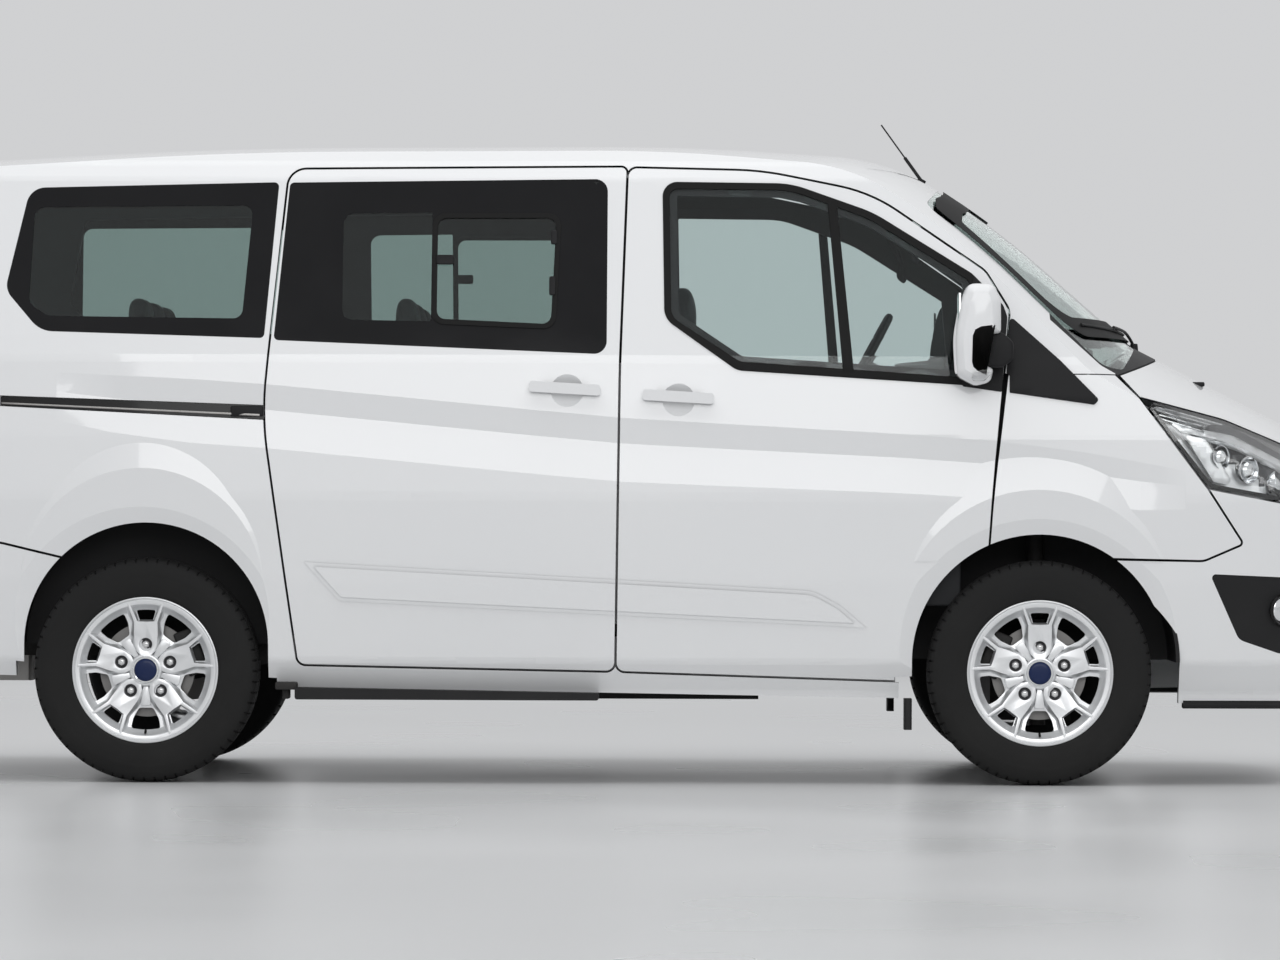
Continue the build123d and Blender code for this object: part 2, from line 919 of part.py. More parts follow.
with BuildPart() as body_side:
    add(skin.part)
    side_cut(BODY_SIDE, 0, Mode.INTERSECT)
    side_cut(FRONT_DOOR, GAP / 2)
    side_cut(SLIDING_DOOR, GAP / 2)
    arch_cut(FRONT_ARCH, FRONT_HOUSE_RADIUS)
    arch_cut(REAR_ARCH, REAR_HOUSE_RADIUS)
    for space in (windscreen_space, roof_space, scuttle_space, bonnet_space, tail_lamp_space):
        add(space.part, mode=Mode.SUBTRACT)
    add(tailgate_space(GAP / 2), mode=Mode.SUBTRACT)
    add(quarter_pane, mode=Mode.SUBTRACT)
    side_cut(QUARTER_GLASS, -GLASS_LAP)
    side_cut(RAIL_SLOT, 0, Mode.SUBTRACT, RAIL_SLOT_Y)
    with BuildSketch(Plane.XY.offset(700)):
        with Locations((CABIN_REAR_X - 300, 0)):
            Rectangle(700, 2 * REAR_PANEL_HALF)
    extrude(amount=200, mode=Mode.SUBTRACT)
with BuildPart() as b_pillar:
    extrude(outline(Plane.YZ.offset(B_PILLAR_X[0]), [(-y, z, r) for y, z, r in B_PILLAR]),
            amount=B_PILLAR_X[1] - B_PILLAR_X[0])
    add(lining, mode=Mode.INTERSECT)
with BuildPart() as pillared_side:
    add(body_side.part)
    add(b_pillar.part)
    extrude(outline(Plane.YZ.offset(SILL_BOX_X[0]), [(-y, z, r) for y, z, r in SILL_BOX]),
            amount=SILL_BOX_X[1] - SILL_BOX_X[0])
both_sides(pillared_side.part, "body_side")
with BuildPart() as side_panes:
    add(sliding_pane)
    add(quarter_pane)
pair(side_panes.part, "side_glass")

with BuildPart() as wing:
    add(skin.part)
    side_cut(WING, -GAP / 2, Mode.INTERSECT)
    arch_cut(FRONT_ARCH, FRONT_HOUSE_RADIUS)
    add(scuttle_space.part, mode=Mode.SUBTRACT)
pair(wing.part, "wings")

with BuildPart() as headlamp:
    add(skin.part)
    side_cut(HEADLAMP, -GAP / 2, Mode.INTERSECT, GRILLE_HALF)
pair(headlamp.part, "headlamps")

with BuildPart() as tail_lamp:
    add(skin.part)
    add(tail_lamp_space.part, mode=Mode.INTERSECT)
pair(tail_lamp.part, "tail_lamps")

# ---------------------------------------------------------------- panels across the vehicle
with BuildPart() as roof:
    add(skin.part)
    add(roof_space.part, mode=Mode.INTERSECT)
    side_cut(FRONT_DOOR, GAP / 2)
    side_cut(SLIDING_DOOR, GAP / 2)
    add(windscreen_space.part, mode=Mode.SUBTRACT)
    add(tailgate_space(GAP / 2), mode=Mode.SUBTRACT)
    with BuildSketch(Plane.XY.offset(1800)):
        with Locations(*RACK_POINTS):
            Circle(RACK_HOLE_RADIUS)
    extrude(amount=400, mode=Mode.SUBTRACT)
whole(roof.part, "roof")

with BuildPart() as windscreen:
    add(outer)
    add(windscreen_space.part, mode=Mode.INTERSECT)
    add(glass_inner, mode=Mode.SUBTRACT)
whole(windscreen.part, "windscreen")

with BuildPart() as scuttle:
    add(skin.part)
    add(scuttle_space.part, mode=Mode.INTERSECT)
    add(windscreen_space.part, mode=Mode.SUBTRACT)
    with BuildSketch(Plane.XY.offset(900)):
        with BuildLine():
            rear_x = [x - GAP for x in BONNET_REAR_X]
            ThreePointArc((rear_x[0], -900), (rear_x[1], 0), (rear_x[0], 900))
            Polyline((rear_x[0], 900), (2500, 900), (2500, -900), (rear_x[0], -900))
        make_face()
    extrude(amount=600, mode=Mode.SUBTRACT)
whole(scuttle.part, "scuttle")

with BuildPart() as bonnet:
    add(skin.part)
    side_cut(BONNET, -GAP / 2, Mode.INTERSECT)
    add(bonnet_space.part, mode=Mode.INTERSECT)
whole(bonnet.part, "bonnet")

with BuildPart() as front_bumper:
    add(skin.part)
    side_cut(FRONT_BUMPER, -GAP / 2, Mode.INTERSECT)
    arch_cut(FRONT_ARCH, FRONT_HOUSE_RADIUS)
    extrude(outline(Plane.YZ.offset(2000), LOWER_INTAKE), amount=500, mode=Mode.SUBTRACT)
    side_cut(BUMPER_INSERT, 0, Mode.SUBTRACT, INSERT_INNER_Y)
whole(front_bumper.part, "front_bumper")

with BuildPart() as bumper_insert:
    add(skin.part)
    side_cut(BUMPER_INSERT, 0, Mode.INTERSECT, INSERT_INNER_Y)
    add(glass_inner, mode=Mode.INTERSECT)
    extrude(outline(Plane.YZ.offset(2000), LOWER_INTAKE), amount=500, mode=Mode.SUBTRACT)
pair(bumper_insert.part, "bumper_inserts")

with BuildPart() as lower_grille:
    add(skin.part)
    extrude(outline(Plane.YZ.offset(2000), LOWER_INTAKE), amount=500, mode=Mode.INTERSECT)
    for z in LOWER_BAR_ZS:
        with BuildSketch(Plane.XY.offset(z)):
            with Locations((2250, 0)):
                Rectangle(500, 2 * LOWER_SLOT_HALF)
        extrude(amount=LOWER_SLOT_HEIGHT, mode=Mode.SUBTRACT)
whole(lower_grille.part, "lower_grille")

with BuildPart() as grille:
    add(skin.part)
    side_cut(HEADLAMP, -GAP / 2, Mode.INTERSECT)
    with BuildSketch(Plane.XZ):
        with Locations((2250, 900)):
            Rectangle(700, 800)
    extrude(amount=GRILLE_HALF, mode=Mode.INTERSECT)
    for z in GRILLE_SLOT_ZS:
        with BuildSketch(Plane.XY.offset(z)):
            with Locations((2250, -GRILLE_SLOT_HALF / 2 - GRILLE_POST / 2)):
                Rectangle(500, GRILLE_SLOT_HALF)
        extrude(amount=GRILLE_SLOT_HEIGHT, mode=Mode.SUBTRACT)
whole(grille.part, "grille")

with BuildPart() as rear_bumper:
    add(skin.part)
    side_cut(REAR_BUMPER, -GAP / 2, Mode.INTERSECT)
    arch_cut(REAR_ARCH, REAR_HOUSE_RADIUS)
whole(rear_bumper.part, "rear_bumper")

with BuildPart() as tailgate_pane:
    add(outer)
    extrude(outline(Plane.YZ.offset(-2500), TAILGATE_GLASS), amount=500, mode=Mode.INTERSECT)
    add(glass_inner, mode=Mode.SUBTRACT)
whole(tailgate_pane.part, "tailgate_glass")

with BuildPart() as plate_recess:
    add(outer)
    with BuildSketch(Plane.YZ.offset(-2500)):
        with Locations((0, PLATE_Z)):
            Rectangle(PLATE_WIDTH, PLATE_HEIGHT)
    extrude(amount=400, mode=Mode.INTERSECT)
    add(glass_inner, mode=Mode.SUBTRACT)

with BuildPart() as tailgate:
    add(skin.part)
    add(tailgate_space(-GAP / 2), mode=Mode.INTERSECT)
    add(tailgate_pane.part, mode=Mode.SUBTRACT)
    extrude(outline(Plane.YZ.offset(-2500), TAILGATE_GLASS, -GLASS_LAP), amount=600, mode=Mode.SUBTRACT)
    add(plate_recess.part, mode=Mode.SUBTRACT)
whole(tailgate.part, "tailgate")

# ---------------------------------------------------------------- floor, firewall, dashboard
with BuildPart() as floor:
    with BuildSketch(Plane.XY.offset(FLOOR_TOP - FLOOR_DEPTH)):
        with BuildLine():
            Polyline(*[(x, -y) for x, y in FLOOR_PLAN], close=True)
        make_face()
    extrude(amount=FLOOR_DEPTH)
    with BuildSketch(Plane.XY.offset(FLOOR_TOP - FLOOR_DEPTH - RAIL_DEPTH)):
        with Locations(((RAIL_X[0] + RAIL_X[1]) / 2, -RAIL_Y)):
            Rectangle(RAIL_X[1] - RAIL_X[0], RAIL_WIDTH)
    extrude(amount=RAIL_DEPTH)
    with BuildSketch(Plane.YZ.offset(RAIL_X[1] - SOCKET_DEPTH)):
        with Locations((-RAIL_Y, SOCKET_Z)):
            Circle(SOCKET_RADIUS)
    extrude(amount=SOCKET_DEPTH, mode=Mode.SUBTRACT)
whole(floor.part, "floor")

with BuildPart() as firewall:
    extrude(outline(Plane.YZ.offset(FIREWALL_X - FIREWALL_DEPTH), FIREWALL), amount=FIREWALL_DEPTH)
finish(firewall.part, "firewall")

with BuildPart() as dashboard:
    extrude(outline(Plane.XZ.offset(-DASH_HALF), DASHBOARD), amount=2 * DASH_HALF)
    with BuildSketch(Plane(origin=STEER_CENTRE, z_dir=STEER_DIRECTION).offset(COLUMN_START)):
        Circle(COLUMN_RADIUS)
    extrude(amount=COLUMN_LENGTH)
finish(dashboard.part, "dashboard")

# ---------------------------------------------------------------- seats
for name, hip_x, hip_z, half, seat_ys in SEAT_ROWS:
    with BuildPart() as row:
        for seat_y in seat_ys:
            for table, reach in ((SEAT, half), (HEADREST, HEADREST_HALF)):
                with BuildSketch(Plane.XZ.offset(-seat_y - reach)):
                    with BuildLine():
                        corners = [(hip_x + x, hip_z + z) for x, z, r in table]
                        FilletPolyline(*corners, radius=[r for x, z, r in table], close=True)
                    make_face()
                extrude(amount=2 * reach)
            with BuildSketch(Plane.XY.offset(hip_z + SEAT_TOP - HEADREST_POST_SINK)):
                with Locations((hip_x + HEADREST_POST_X, seat_y)):
                    with GridLocations(0, HEADREST_POST_SPREAD, 1, 2):
                        Circle(HEADREST_POST_RADIUS)
            extrude(amount=HEADREST_POST_LENGTH)
            with BuildSketch(Plane.XY.offset(FLOOR_TOP)):
                with Locations((hip_x + 130, seat_y)):
                    Rectangle(2 * PLINTH_HALF_LENGTH, 2 * half - 60)
            extrude(amount=hip_z - CUSHION_DEPTH - FLOOR_TOP)
    finish(row.part, name)

# ---------------------------------------------------------------- wheelhouse liners
for name, arch, radius, inner_y, arm_slots in (
    ("front_arch_liners", FRONT_ARCH, FRONT_HOUSE_RADIUS, FRONT_HOUSE_Y, [ARM_SLOT]),
    ("rear_arch_liners", REAR_ARCH, REAR_HOUSE_RADIUS, REAR_HOUSE_Y, []),
):
    x, z = arch[:2]
    with BuildPart() as liner:
        with BuildSketch(Plane.XZ.offset(inner_y)):
            with Locations((x, z)):
                Circle(radius)
            with Locations((x, z - radius)):
                Rectangle(2 * radius, 2 * radius, mode=Mode.SUBTRACT)
        extrude(amount=ARCH_LIP_Y - inner_y)
        with BuildSketch(Plane.XZ.offset(inner_y + LINER_WALL)):
            with Locations((x, z)):
                Circle(radius - LINER_WALL)
        extrude(amount=ARCH_LIP_Y, mode=Mode.SUBTRACT)
        for slot in arm_slots:
            with BuildSketch(Plane.XZ.offset(inner_y)):
                with Locations(slot):
                    RectangleRounded(ARM_WIDTH + 2 * ARM_ROOM, ARM_DEPTH + 2 * ARM_ROOM, ARM_ROOM)
            extrude(amount=LINER_WALL, mode=Mode.SUBTRACT)
    pair(liner.part, name)

# ---------------------------------------------------------------- wheels and tyres
with BuildPart() as tyre:
    revolve(outline(Plane.YZ, TYRE), axis=Axis.Y)

fork_window = outline(Plane.XY, FORK_WINDOW)
wide_window = outline(Plane.XY, WIDE_WINDOW)
with BuildPart() as rim:
    revolve(outline(Plane.YZ, RIM), axis=Axis.Y)
    with BuildSketch(Plane.XZ.offset(WINDOW_START)):
        with PolarLocations(0, SPOKES, start_angle=SPOKE_START):
            add(fork_window)
        with PolarLocations(0, SPOKES, start_angle=SPOKE_START + 180 / SPOKES):
            add(wide_window)
    extrude(amount=200, mode=Mode.SUBTRACT)

for label, x in (("front", FRONT_AXLE_X), ("rear", REAR_AXLE_X)):
    place = Location((x, -WHEEL_Y, TYRE_RADIUS))
    both_sides(tyre.part.moved(place), label + "_tyre")
    both_sides(rim.part.moved(place), label + "_rim")

# ---------------------------------------------------------------- knuckles and axles
stub_length = STUB_END_Y - BOSS_Y[1]
boss_length = BOSS_Y[1] - BOSS_Y[0]
with BuildPart() as knuckle:
    with BuildSketch(Plane.XY.offset(TYRE_RADIUS - KINGPIN_HALF)):
        with Locations((FRONT_AXLE_X, -KINGPIN_Y)):
            Circle(KINGPIN_RADIUS)
    extrude(amount=2 * KINGPIN_HALF)
    for y, radius, length in ((BOSS_Y[0], BOSS_RADIUS, boss_length), (BOSS_Y[1], STUB_RADIUS, stub_length)):
        with BuildSketch(Plane.XZ.offset(y)):
            with Locations((FRONT_AXLE_X, TYRE_RADIUS)):
                Circle(radius)
        extrude(amount=length)
both_sides(knuckle.part, "knuckle")

with BuildPart() as front_axle:
    for z in (ARM_LOWER_Z, ARM_UPPER_Z):
        with BuildSketch(Plane.XY.offset(z)):
            with Locations((FRONT_AXLE_X, -KINGPIN_Y)):
                Circle(ARM_WIDTH / 2)
            with Locations((FRONT_AXLE_X, -(KINGPIN_Y + ARM_INNER_Y) / 2)):
                Rectangle(ARM_WIDTH, KINGPIN_Y - ARM_INNER_Y)
        extrude(amount=ARM_DEPTH)
    with BuildSketch(Plane.XY.offset(SUBFRAME_Z - SUBFRAME_DROP)):
        with Locations((FRONT_AXLE_X, -ARM_INNER_Y / 2)):
            Rectangle(SUBFRAME_LENGTH, ARM_INNER_Y)
    extrude(amount=FLOOR_TOP - FLOOR_DEPTH - RAIL_DEPTH - SUBFRAME_Z + SUBFRAME_DROP)
    with BuildSketch(Plane.XY.offset(SUBFRAME_Z - SUBFRAME_DROP)):
        with Locations((FRONT_AXLE_X, -STRUT_Y)):
            Circle(STRUT_RADIUS)
    extrude(amount=STRUT_HEIGHT)
whole(front_axle.part, "front_axle")

with BuildPart() as rear_axle:
    for y, radius, length in (
        (0, AXLE_TUBE, BOSS_Y[0]),
        (BOSS_Y[0], BOSS_RADIUS, boss_length),
        (BOSS_Y[1], STUB_RADIUS, stub_length),
    ):
        with BuildSketch(Plane.XZ.offset(y)):
            with Locations((REAR_AXLE_X, TYRE_RADIUS)):
                Circle(radius)
        extrude(amount=length)
    with BuildSketch(Plane.XZ.offset(SPRING_Y - TRAILING_ARM_WIDTH / 2)):
        with BuildLine():
            FilletPolyline(*TRAILING_ARM, radius=10, close=True)
        make_face()
    extrude(amount=TRAILING_ARM_WIDTH)
    with BuildSketch(Plane.XY.offset(TYRE_RADIUS)):
        with Locations((REAR_AXLE_X, -SPRING_Y)):
            Circle(SPRING_RADIUS)
    extrude(amount=FLOOR_TOP - FLOOR_DEPTH - TYRE_RADIUS)
whole(rear_axle.part, "rear_axle")

# ---------------------------------------------------------------- steering wheel
steer_plane = Plane(origin=STEER_CENTRE, x_dir=(0, 1, 0), z_dir=STEER_DIRECTION)
with BuildPart() as steering_wheel:
    with BuildSketch(Plane(origin=STEER_CENTRE, x_dir=(0, 1, 0), z_dir=STEER_UP)):
        with Locations((STEER_RADIUS, 0)):
            RegularPolygon(STEER_GRIP, 8)
    revolve(axis=Axis(STEER_CENTRE, STEER_DIRECTION))
    with BuildSketch(steer_plane.offset(-STEER_SPOKE_THICK / 2)):
        Circle(STEER_BOSS_RADIUS)
        Rectangle(2 * STEER_RADIUS, STEER_SPOKE)
        with Locations((0, STEER_RADIUS / 2), (0, -STEER_RADIUS / 2)):
            Rectangle(STEER_SPOKE_LOW, STEER_RADIUS)
    extrude(amount=STEER_SPOKE_THICK)
    with BuildSketch(steer_plane.offset(-STEER_HUB_FRONT)):
        Circle(STEER_HUB_RADIUS)
    extrude(amount=COLUMN_START + STEER_HUB_FRONT - 1)
finish(steering_wheel.part, "steering_wheel")

# ---------------------------------------------------------------- mirrors
with BuildPart() as door_mirror:
    extrude(outline(Plane.XZ.offset(MIRROR_Y[0]), MIRROR_HEAD), amount=MIRROR_Y[1] - MIRROR_Y[0])
    fillet(faces().sort_by(Axis.Y)[0].edges(), MIRROR_ROUND)
    extrude(outline(Plane.XZ.offset(MIRROR_ARM_Y[0]), MIRROR_ARM), amount=MIRROR_ARM_Y[1] - MIRROR_ARM_Y[0])
    add(outer, mode=Mode.SUBTRACT)
both_sides(door_mirror.part, "mirror")

# ---------------------------------------------------------------- fittings


def block(low_x, high_x, low_y, high_y, low_z, high_z):
    """Rectangular block from its limits, widths given to the right."""
    with BuildSketch(Plane.XY.offset(low_z)) as base:
        with Locations(((low_x + high_x) / 2, -(low_y + high_y) / 2)):
            RectangleRounded(high_x - low_x, high_y - low_y, min(12, (high_x - low_x) / 3))
    extrude(base.sketch, amount=high_z - low_z)


with BuildPart() as step:
    extrude(outline(Plane.XZ.offset(STEP_Y[0]), STEP), amount=STEP_Y[1] - STEP_Y[0])
pair(step.part, "side_steps")
with BuildPart() as mudflap:
    block(*MUDFLAP)
pair(mudflap.part, "mudflaps")
with BuildPart() as engine:
    block(ENGINE[0], ENGINE[1], -ENGINE[2], ENGINE[2], ENGINE[3], ENGINE[4])
finish(engine.part, "engine_block")
with BuildPart() as radiator:
    block(RADIATOR[0], RADIATOR[1], -RADIATOR[2], RADIATOR[2], RADIATOR[3], RADIATOR[4])
finish(radiator.part, "radiator")
with BuildPart() as tank:
    block(*TANK)
finish(tank.part, "fuel_tank")
with BuildPart() as exhaust:
    block(*SILENCER)
    with BuildSketch(Plane.YZ.offset(SILENCER[1] - 10)):
        with Locations((0, EXHAUST_Z)):
            Circle(EXHAUST_RADIUS)
    extrude(amount=ENGINE[0] - SILENCER[1] + 10)
finish(exhaust.part, "exhaust")

antenna_direction = Vector(*ANTENNA_TIP) - Vector(*ANTENNA_BASE)
with BuildPart() as antenna:
    with BuildSketch(Plane(origin=ANTENNA_FOOT, z_dir=ANTENNA_FOOT_NORMAL)):
        Circle(ANTENNA_FOOT_RADIUS)
    extrude(amount=ANTENNA_FOOT_HEIGHT)
    with BuildSketch(Plane(origin=ANTENNA_BASE, z_dir=antenna_direction)):
        Circle(ANTENNA_SLEEVE_RADIUS)
    extrude(amount=ANTENNA_SLEEVE_LENGTH)
    with BuildSketch(Plane(origin=ANTENNA_BASE, z_dir=antenna_direction)):
        Circle(ANTENNA_RADIUS)
    extrude(amount=antenna_direction.length)
finish(antenna.part, "antenna")
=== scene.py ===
import math
import json
import bpy
import bmesh
from mathutils import Vector, Matrix
from mathutils.bvhtree import BVHTree


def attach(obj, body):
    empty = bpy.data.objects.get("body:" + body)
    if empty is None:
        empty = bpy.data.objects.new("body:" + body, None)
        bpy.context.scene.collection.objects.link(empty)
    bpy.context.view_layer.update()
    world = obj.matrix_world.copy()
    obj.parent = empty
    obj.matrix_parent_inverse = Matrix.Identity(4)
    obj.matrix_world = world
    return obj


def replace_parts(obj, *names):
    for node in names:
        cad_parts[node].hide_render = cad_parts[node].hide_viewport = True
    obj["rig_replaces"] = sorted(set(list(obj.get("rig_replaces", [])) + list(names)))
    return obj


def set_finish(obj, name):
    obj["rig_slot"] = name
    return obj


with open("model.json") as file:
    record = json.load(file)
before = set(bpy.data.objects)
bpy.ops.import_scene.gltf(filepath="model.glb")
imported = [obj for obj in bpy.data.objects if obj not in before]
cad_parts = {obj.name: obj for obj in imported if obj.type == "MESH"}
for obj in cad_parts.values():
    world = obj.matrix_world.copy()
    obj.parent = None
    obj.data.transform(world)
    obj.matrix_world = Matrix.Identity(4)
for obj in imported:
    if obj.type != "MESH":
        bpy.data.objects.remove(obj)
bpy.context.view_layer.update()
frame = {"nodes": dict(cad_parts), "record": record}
nodes = frame["nodes"]
MM = 0.001


# --- camera, lamps and studio
CAMERA_PLACE = (0.350, -20.99, 0.874)
CAMERA_AIM = (0.172, -0.99, 0.952)
CAMERA_ROLL = 0.2
# name, place, aim, size, power in watts, and whether shiny finishes mirror it
LAMPS = (
    ("overhead_softbox", (0.0, -1.5, 7.5), (0, 0, 0.8), (12, 6), 350, False),
    ("side_softbox", (1.5, -13.0, 5.0), (0.2, 0, 0.9), (10, 5), 385, True),
    ("far_softbox", (-1.0, 11.0, 5.5), (0, 0, 1.0), (12, 5), 210, False),
)


def build_camera():
    """Long lens, nearly square on to the right-hand side."""
    bpy.ops.object.camera_add(location=CAMERA_PLACE)
    camera = bpy.context.object
    camera.name = "studio_camera"
    camera.data.lens = 180
    camera.data.sensor_width = 36
    camera.data.clip_end = 200
    aim = Vector(CAMERA_AIM) - camera.location
    camera.rotation_euler = aim.to_track_quat("-Z", "Y").to_euler()
    camera.rotation_euler.rotate_axis("Z", math.radians(CAMERA_ROLL))
    bpy.context.scene.camera = camera


def build_lamp(name, place, aim, size, power, mirrored):
    """Wide soft lamp, aimed at a point."""
    bpy.ops.object.light_add(type="AREA", location=place)
    lamp = bpy.context.object
    lamp.name = name
    lamp.data.shape = "RECTANGLE"
    lamp.data.size, lamp.data.size_y = size
    lamp.data.energy = power
    lamp.visible_glossy = mirrored
    lamp.rotation_euler = (Vector(aim) - Vector(place)).to_track_quat("-Z", "Y").to_euler()


# --- shared effects for the finishes
def new_effect(name, inputs, outputs):
    """Empty node group, with its input and output nodes."""
    group = bpy.data.node_groups.new(name, "ShaderNodeTree")
    for label, kind, value in inputs:
        socket = group.interface.new_socket(name=label, in_out="INPUT", socket_type="NodeSocket" + kind)
        socket.default_value = value
    for label, kind in outputs:
        group.interface.new_socket(name=label, in_out="OUTPUT", socket_type="NodeSocket" + kind)
    start = group.nodes.new("NodeGroupInput")
    end = group.nodes.new("NodeGroupOutput")
    return group, start, end


def new_node(tree, kind, values=None, **settings):
    """New shader node with its settings and the values of its inputs."""
    made = tree.nodes.new("ShaderNode" + kind)
    for label, value in settings.items():
        setattr(made, label, value)
    for label, value in (values or {}).items():
        made.inputs[label].default_value = value
    return made


def wire(tree, *pairs):
    """Link outputs to inputs."""
    for source, target in pairs:
        tree.links.new(source, target)


def math_node(tree, operation, first, second, clamp=False):
    """Result of a sum on sockets and numbers."""
    made = new_node(tree, "Math", operation=operation, use_clamp=clamp)
    for slot, value in zip(made.inputs, (first, second)):
        if isinstance(value, (int, float)):
            slot.default_value = value
        elif value is not None:
            tree.links.new(value, slot)
    return made.outputs[0]


def build_grain():
    """Fine moulded grain, 0 to 1, and a slower drift of it."""
    inputs = [("Size", "Float", 900.0), ("Drift", "Float", 6.0)]
    group, start, end = new_effect("grain", inputs, [("Grain", "Float"), ("Cloud", "Float")])
    place = new_node(group, "TexCoord").outputs["Object"]
    fine = new_node(group, "TexNoise", {"Detail": 3})
    slow = new_node(group, "TexNoise", {"Detail": 4})
    wire(group, (place, fine.inputs["Vector"]), (place, slow.inputs["Vector"]),
         (start.outputs["Size"], fine.inputs["Scale"]), (start.outputs["Drift"], slow.inputs["Scale"]),
         (fine.outputs["Fac"], end.inputs["Grain"]), (slow.outputs["Fac"], end.inputs["Cloud"]))
    return group


def build_weave():
    """Two crossing threads, as a height from 0 to 1."""
    group, start, end = new_effect("weave", [("Threads", "Float", 700.0)], [("Height", "Float")])
    place = new_node(group, "TexCoord").outputs["Object"]
    waves = []
    for direction in ("X", "Y", "Z"):
        wave = new_node(group, "TexWave", {"Distortion": 0.8, "Detail": 1}, bands_direction=direction)
        wire(group, (place, wave.inputs["Vector"]), (start.outputs["Threads"], wave.inputs["Scale"]))
        waves.append(wave.outputs["Fac"])
    first = math_node(group, "MAXIMUM", waves[0], waves[1])
    wire(group, (math_node(group, "MAXIMUM", first, waves[2]), end.inputs["Height"]))
    return group


def build_road_film():
    """Thin dust that thickens towards the ground, 0 to 1."""
    inputs = [("Top", "Float", 0.75), ("Amount", "Float", 0.25)]
    group, start, end = new_effect("road_film", inputs, [("Mask", "Float")])
    place = new_node(group, "TexCoord").outputs["Object"]
    parts = new_node(group, "SeparateXYZ")
    noise = new_node(group, "TexNoise", {"Scale": 9, "Detail": 6})
    fall = new_node(group, "MapRange", {"From Min": 0.0, "To Min": 1.0, "To Max": 0.0})
    wire(group, (place, parts.inputs[0]), (place, noise.inputs["Vector"]),
         (parts.outputs["Z"], fall.inputs["Value"]), (start.outputs["Top"], fall.inputs["From Max"]))
    film = math_node(group, "MULTIPLY", fall.outputs[0], noise.outputs["Fac"])
    wire(group, (math_node(group, "MULTIPLY", film, start.outputs["Amount"], True), end.inputs["Mask"]))
    return group


CABIN_MIDDLE = (-0.4, 0, 1.25)
CABIN_SPREAD = (0.22, 1.0, 0.9)
# half width of the side's surface: two slopes, as width at the ground and loss for each metre of height
LOW_SLOPE = (1.0713, 0.0792)
HIGH_SLOPE = (1.3384, 0.28)
# the lining starts at this height over the ground, less a share of the way forward, and ends at the roof
SILL_HEIGHT, SILL_FALL, SILL_TOP, LINING_TOP = 1.33, 0.09, 1.34, 1.91
CABIN_FRONT, CABIN_BACK = 1.33, -2.05


def build_inner_side():
    """1 on faces that look into the cabin or line an opening, 0 on the outside of the panels."""
    inputs = [("Lean", "Float", 0.25), ("Depth", "Float", 0.004)]
    group, start, end = new_effect("inner_side", inputs, [("Mask", "Float")])
    place = new_node(group, "TexCoord").outputs["Object"]
    normal = new_node(group, "NewGeometry").outputs["Normal"]
    middle = new_node(group, "VectorMath", {1: CABIN_MIDDLE}, operation="SUBTRACT")
    spread = new_node(group, "VectorMath", {1: CABIN_SPREAD}, operation="MULTIPLY")
    unit = new_node(group, "VectorMath", operation="NORMALIZE")
    dot = new_node(group, "VectorMath", operation="DOT_PRODUCT")
    parts = new_node(group, "SeparateXYZ")
    wire(group, (place, middle.inputs[0]), (middle.outputs[0], spread.inputs[0]),
         (spread.outputs[0], unit.inputs[0]),
         (unit.outputs[0], dot.inputs[0]), (normal, dot.inputs[1]), (place, parts.inputs[0]))
    along, across, up = parts.outputs

    def calc(operation, first, second=None):
        return math_node(group, operation, first, second)

    inward = calc("GREATER_THAN", calc("MULTIPLY", dot.outputs["Value"], -1.0), start.outputs["Lean"])
    low = calc("SUBTRACT", LOW_SLOPE[0], calc("MULTIPLY", up, LOW_SLOPE[1]))
    high = calc("SUBTRACT", HIGH_SLOPE[0], calc("MULTIPLY", up, HIGH_SLOPE[1]))
    bow = calc("DIVIDE", calc("POWER", calc("ADD", along, 0.1), 2.0), 80.0)
    width = calc("SUBTRACT", calc("MINIMUM", low, high), bow)
    sunk = calc("GREATER_THAN", calc("SUBTRACT", width, calc("ABSOLUTE", across)), start.outputs["Depth"])
    lining = calc("MULTIPLY", sunk, calc("LESS_THAN", dot.outputs["Value"], 0.35))
    facing = new_node(group, "SeparateXYZ")
    wire(group, (normal, facing.inputs[0]))
    rebate = calc("MULTIPLY", sunk, calc("GREATER_THAN", calc("ABSOLUTE", facing.outputs["Y"]), 0.88))
    sill = calc("MINIMUM", calc("SUBTRACT", SILL_HEIGHT, calc("MULTIPLY", along, SILL_FALL)), SILL_TOP)
    level = calc("MULTIPLY", calc("GREATER_THAN", up, sill), calc("LESS_THAN", up, LINING_TOP))
    either = calc("MAXIMUM", inward, calc("MULTIPLY", calc("MAXIMUM", lining, rebate), level))
    length = calc("MULTIPLY", calc("LESS_THAN", along, CABIN_FRONT), calc("GREATER_THAN", along, CABIN_BACK))
    wire(group, (calc("MULTIPLY", either, length), end.inputs["Mask"]))
    return group


GRAIN = build_grain()
WEAVE = build_weave()
ROAD_FILM = build_road_film()
INNER_SIDE = build_inner_side()


# --- finishes
def new_finish(name, colour, rough, metallic=0.0, coat=0.0, ior=1.5):
    """Plain finish, its node tree and its shader."""
    finish = bpy.data.materials.new(name)
    finish.use_nodes = True
    shader = finish.node_tree.nodes["Principled BSDF"]
    values = {"Base Color": (*colour, 1), "Roughness": rough, "Metallic": metallic, "Coat Weight": coat,
              "Coat Roughness": 0.04, "IOR": ior}
    for label, value in values.items():
        shader.inputs[label].default_value = value
    return finish, finish.node_tree, shader


def effect(tree, group, **values):
    """Outputs of a shared effect."""
    made = tree.nodes.new("ShaderNodeGroup")
    made.node_tree = group
    for label, value in values.items():
        made.inputs[label].default_value = value
    return made.outputs


